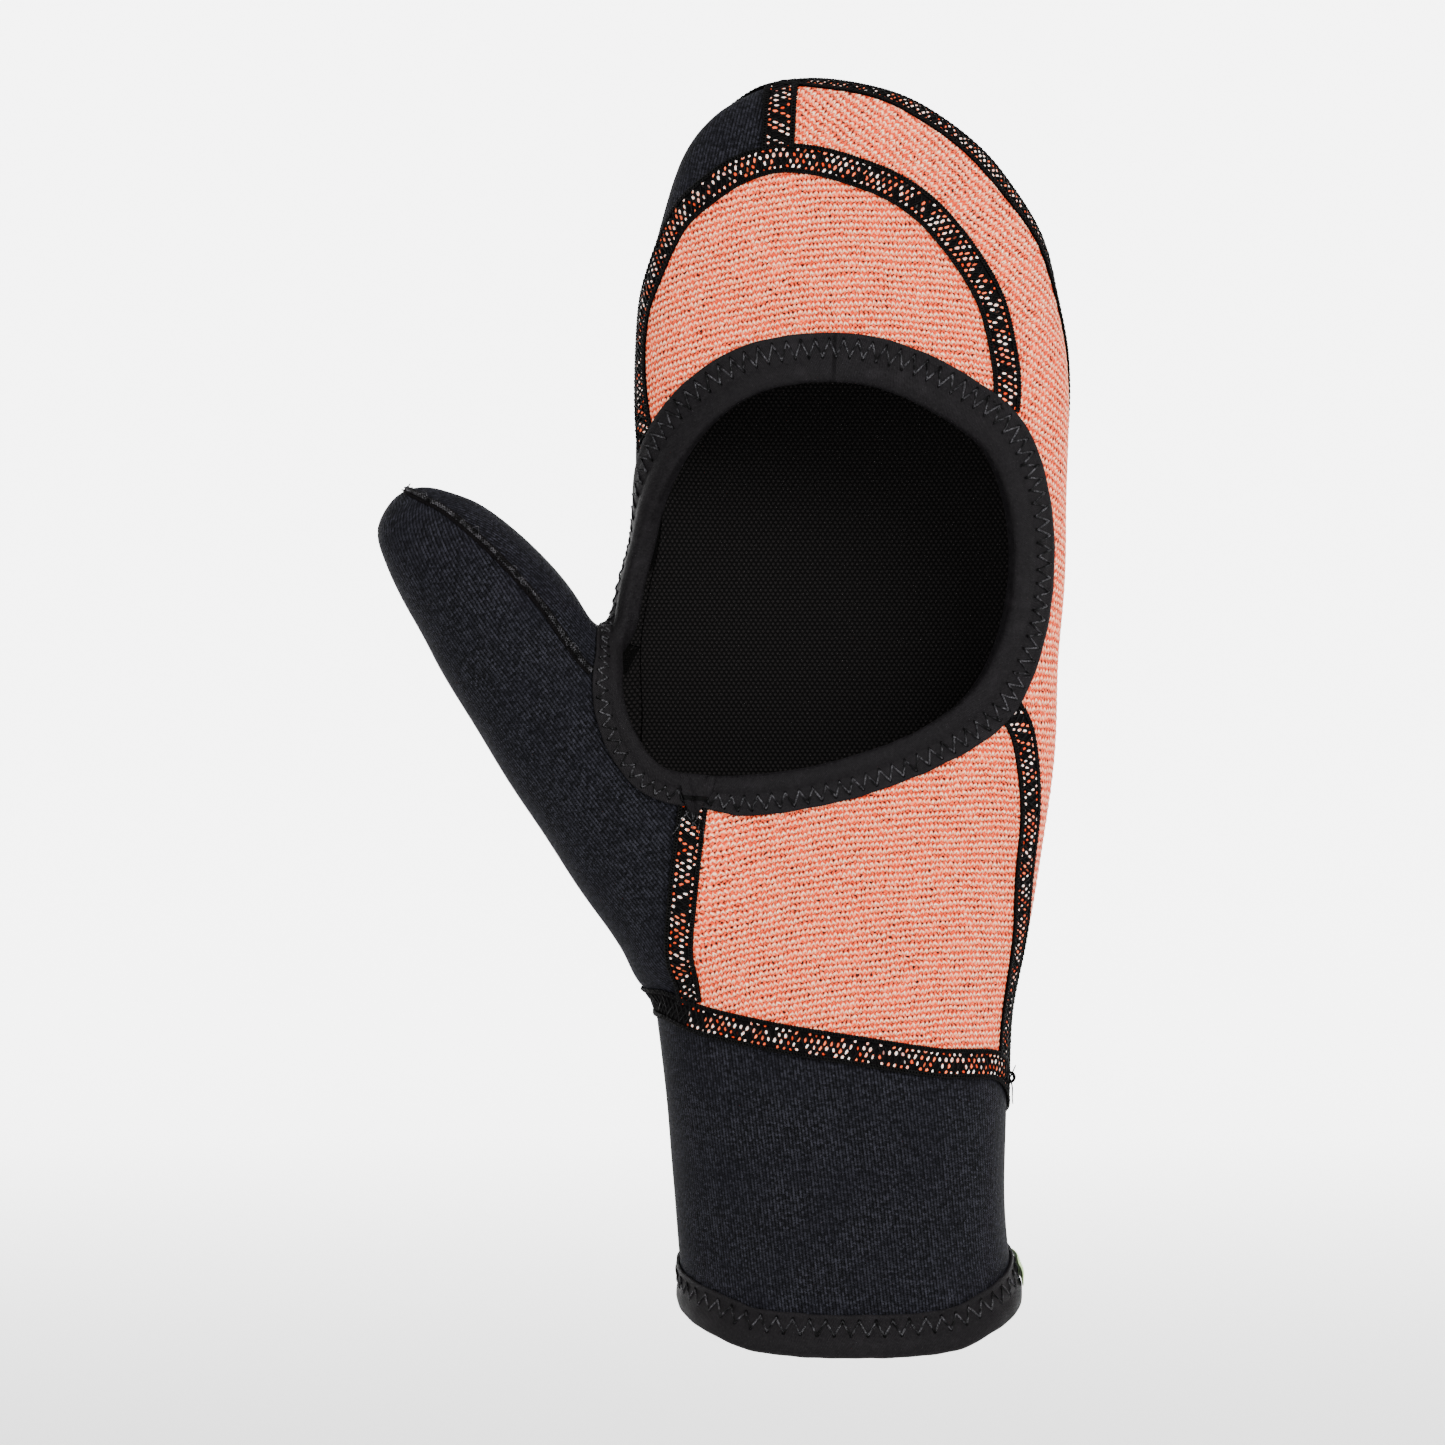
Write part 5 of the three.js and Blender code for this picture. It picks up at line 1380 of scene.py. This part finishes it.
def make_loose_threads():
    rng = np.random.default_rng(7)
    root = wrist_seam.at([share_by(wrist_seam, (0.775, 0.178, 0.0))])[0]
    out = normals(root)
    root = root + out
    knot = []
    for k in range(5):
        angle = np.linspace(0, 2 * np.pi, 9) + k
        turn = np.stack([np.cos(angle), 0.4 * np.sin(angle + k), np.sin(angle)], axis=-1) * (0.9 + 0.1 * k)
        knot.append(root + turn)
    tail = [root + np.array([0.2 * k + 0.25 * math.sin(k), -0.4, -1.2 * k]) for k in range(6)]
    stub = [root + out * 0.2 + np.array([0.4 * k, -0.3, 0.9 * k]) for k in range(4)]
    tubes("seam_knot", knot + [tail, stub], 0.2, BLACK_THREAD, "wrist_seam")

    join = hole.at([hole_heel])[0]
    away = -hole.sideways([hole_heel])[0]
    n = normals(join)
    strands = []
    for k in range(7):
        points = [join + away * (7.0 + 0.3 * k) + n * 1.4 + np.array([(k - 3) * 0.7, 0, 0])]
        way = away * 0.9 + np.array([rng.uniform(-0.5, 0.5), 0, 0])
        for _ in range(rng.integers(3, 6)):
            way = way + np.array([rng.uniform(-0.5, 0.5), rng.uniform(-0.15, 0.1), rng.uniform(-0.3, 0.3)])
            points.append(points[-1] + way)
        points = settle(np.array(points))
        lift = np.linspace(2.1, 0.9, len(points)) + rng.uniform(-0.1, 0.3, len(points))
        strands.append(points + normals(points) * lift[:, None])
    tubes("join_threads", strands, 0.13, DARK_THREAD_WITH_GLINTS, "binding_flap")

    loops = []
    bends = (-0.9, 0, -0.3), (-0.5, 0.5, 0.4), (0.1, 0.8, 0.7), (0.7, 0.3, 0.3), (1.0, -0.2, -0.3)
    for t in np.sort(rng.uniform(*trimmed(thumb_seam, (hole, 8.0), (back_seam, 12.0)), 90)):
        p, side = thumb_seam.at([t])[0], thumb_seam.sideways([t])[0]
        m = normals(p)
        tangent = np.cross(m, side)
        turn, size = rng.uniform(-1, 1), rng.uniform(0.35, 0.9)
        centre = p + side * rng.uniform(-0.9, 0.9) + m * 0.9
        loops.append([centre + tangent * (a * size) + side * (b * turn) + m * (c * size)
                      for a, b, c in bends])
    tubes("thumb_seam_loops", loops, 0.11, DARK_THREAD_WITH_GLINTS, "thumb_seam")


# Floor, light and camera

def make_stage():
    """A round paper backdrop that curves up from the floor, under even light. It glows, brightest at the
    back, so that it shows white and lights the mitten too.
    """
    floor, disc, curve, around = -0.1, 1.9, 1.4, 32
    angle = np.radians(90 * np.arange(9) / 8)[:, None]
    turn = 2 * np.pi * np.arange(around) / around
    r = disc + curve * np.sin(angle)
    z = floor + curve - curve * np.cos(angle) + 0 * turn
    vertices = np.stack([r * np.cos(turn), r * np.sin(turn), z], axis=-1)
    rings = numbers(vertices)
    faces = [list(range(around))[::-1]] + cells(np.concatenate([rings, rings[:, :1]], axis=1).T).tolist()
    mesh = bpy.data.meshes.new("backdrop")
    mesh.from_pydata(vertices.reshape(-1, 3).tolist(), [], faces)
    smoothed(mesh)
    mesh.flip_normals()
    backdrop = placed("backdrop", mesh)
    f = Finish("glowing_paper")
    grain = f.noise(f.object_place(), 60.0)
    away = f.split(f.object_place())[1]
    # The grey paper glows, faint at the front and strong at the back.
    glow = f.blend(away.ramp(0.0, 2.6), (0.17, 0.17, 0.17, 1), (1, 1, 1, 1))
    paper = f.blend(grain, (0.55, 0.55, 0.55, 1), (0.6, 0.6, 0.6, 1))
    feed(f.tree, f.shader, {"Base Color": paper, "Roughness": 0.9, "Emission Color": glow,
                            "Emission Strength": 5.2})
    mesh.materials.append(f.material)

    world = bpy.data.worlds.new("studio")
    world.use_nodes = True
    background = world.node_tree.nodes["Background"]
    background.inputs[0].default_value = (1, 1, 1, 1)
    background.inputs[1].default_value = 0.6
    bpy.context.scene.world = world


def make_light(name, place, aim, size, power):
    data = bpy.data.lights.new(name, "AREA")
    data.shape = "RECTANGLE"
    data.size, data.size_y = size
    data.energy = power
    made = placed(name, data)
    made.location = place
    made.rotation_euler = (Vector(aim) - Vector(place)).to_track_quat("-Z", "Y").to_euler()


def make_camera():
    data = bpy.data.cameras.new("camera")
    data.sensor_width = 36
    data.lens = data.sensor_width * CAMERA_AWAY / VIEW_WIDTH
    data.clip_end = 20
    camera = placed("camera", data)
    camera.location = (-0.0274, -1.412, 0.1179)
    camera.rotation_euler = (math.radians(90), 0, 0)
    bpy.context.scene.camera = camera


make_panels()
make_seams()
make_binding("palm_binding", hole, hole_share, PALM_ZIGZAG_PITCH)
make_binding("hem_binding", hem, lambda t: HEM_BINDING_SHARE + 0 * t, ZIGZAG_PITCH)
make_flap()
make_label()
make_loose_threads()
make_stage()
make_light("key", (0.8, -1.25, 1.0), (0, 0, 0.12), (1.0, 1.0), 55)
make_light("fill", (-1.2, -1.0, 0.5), (0, 0, 0.12), (1.2, 1.2), 13)
make_light("top", (-0.1, 0.2, 1.5), (0, 0, 0.1), (1.2, 0.8), 9)
make_camera()
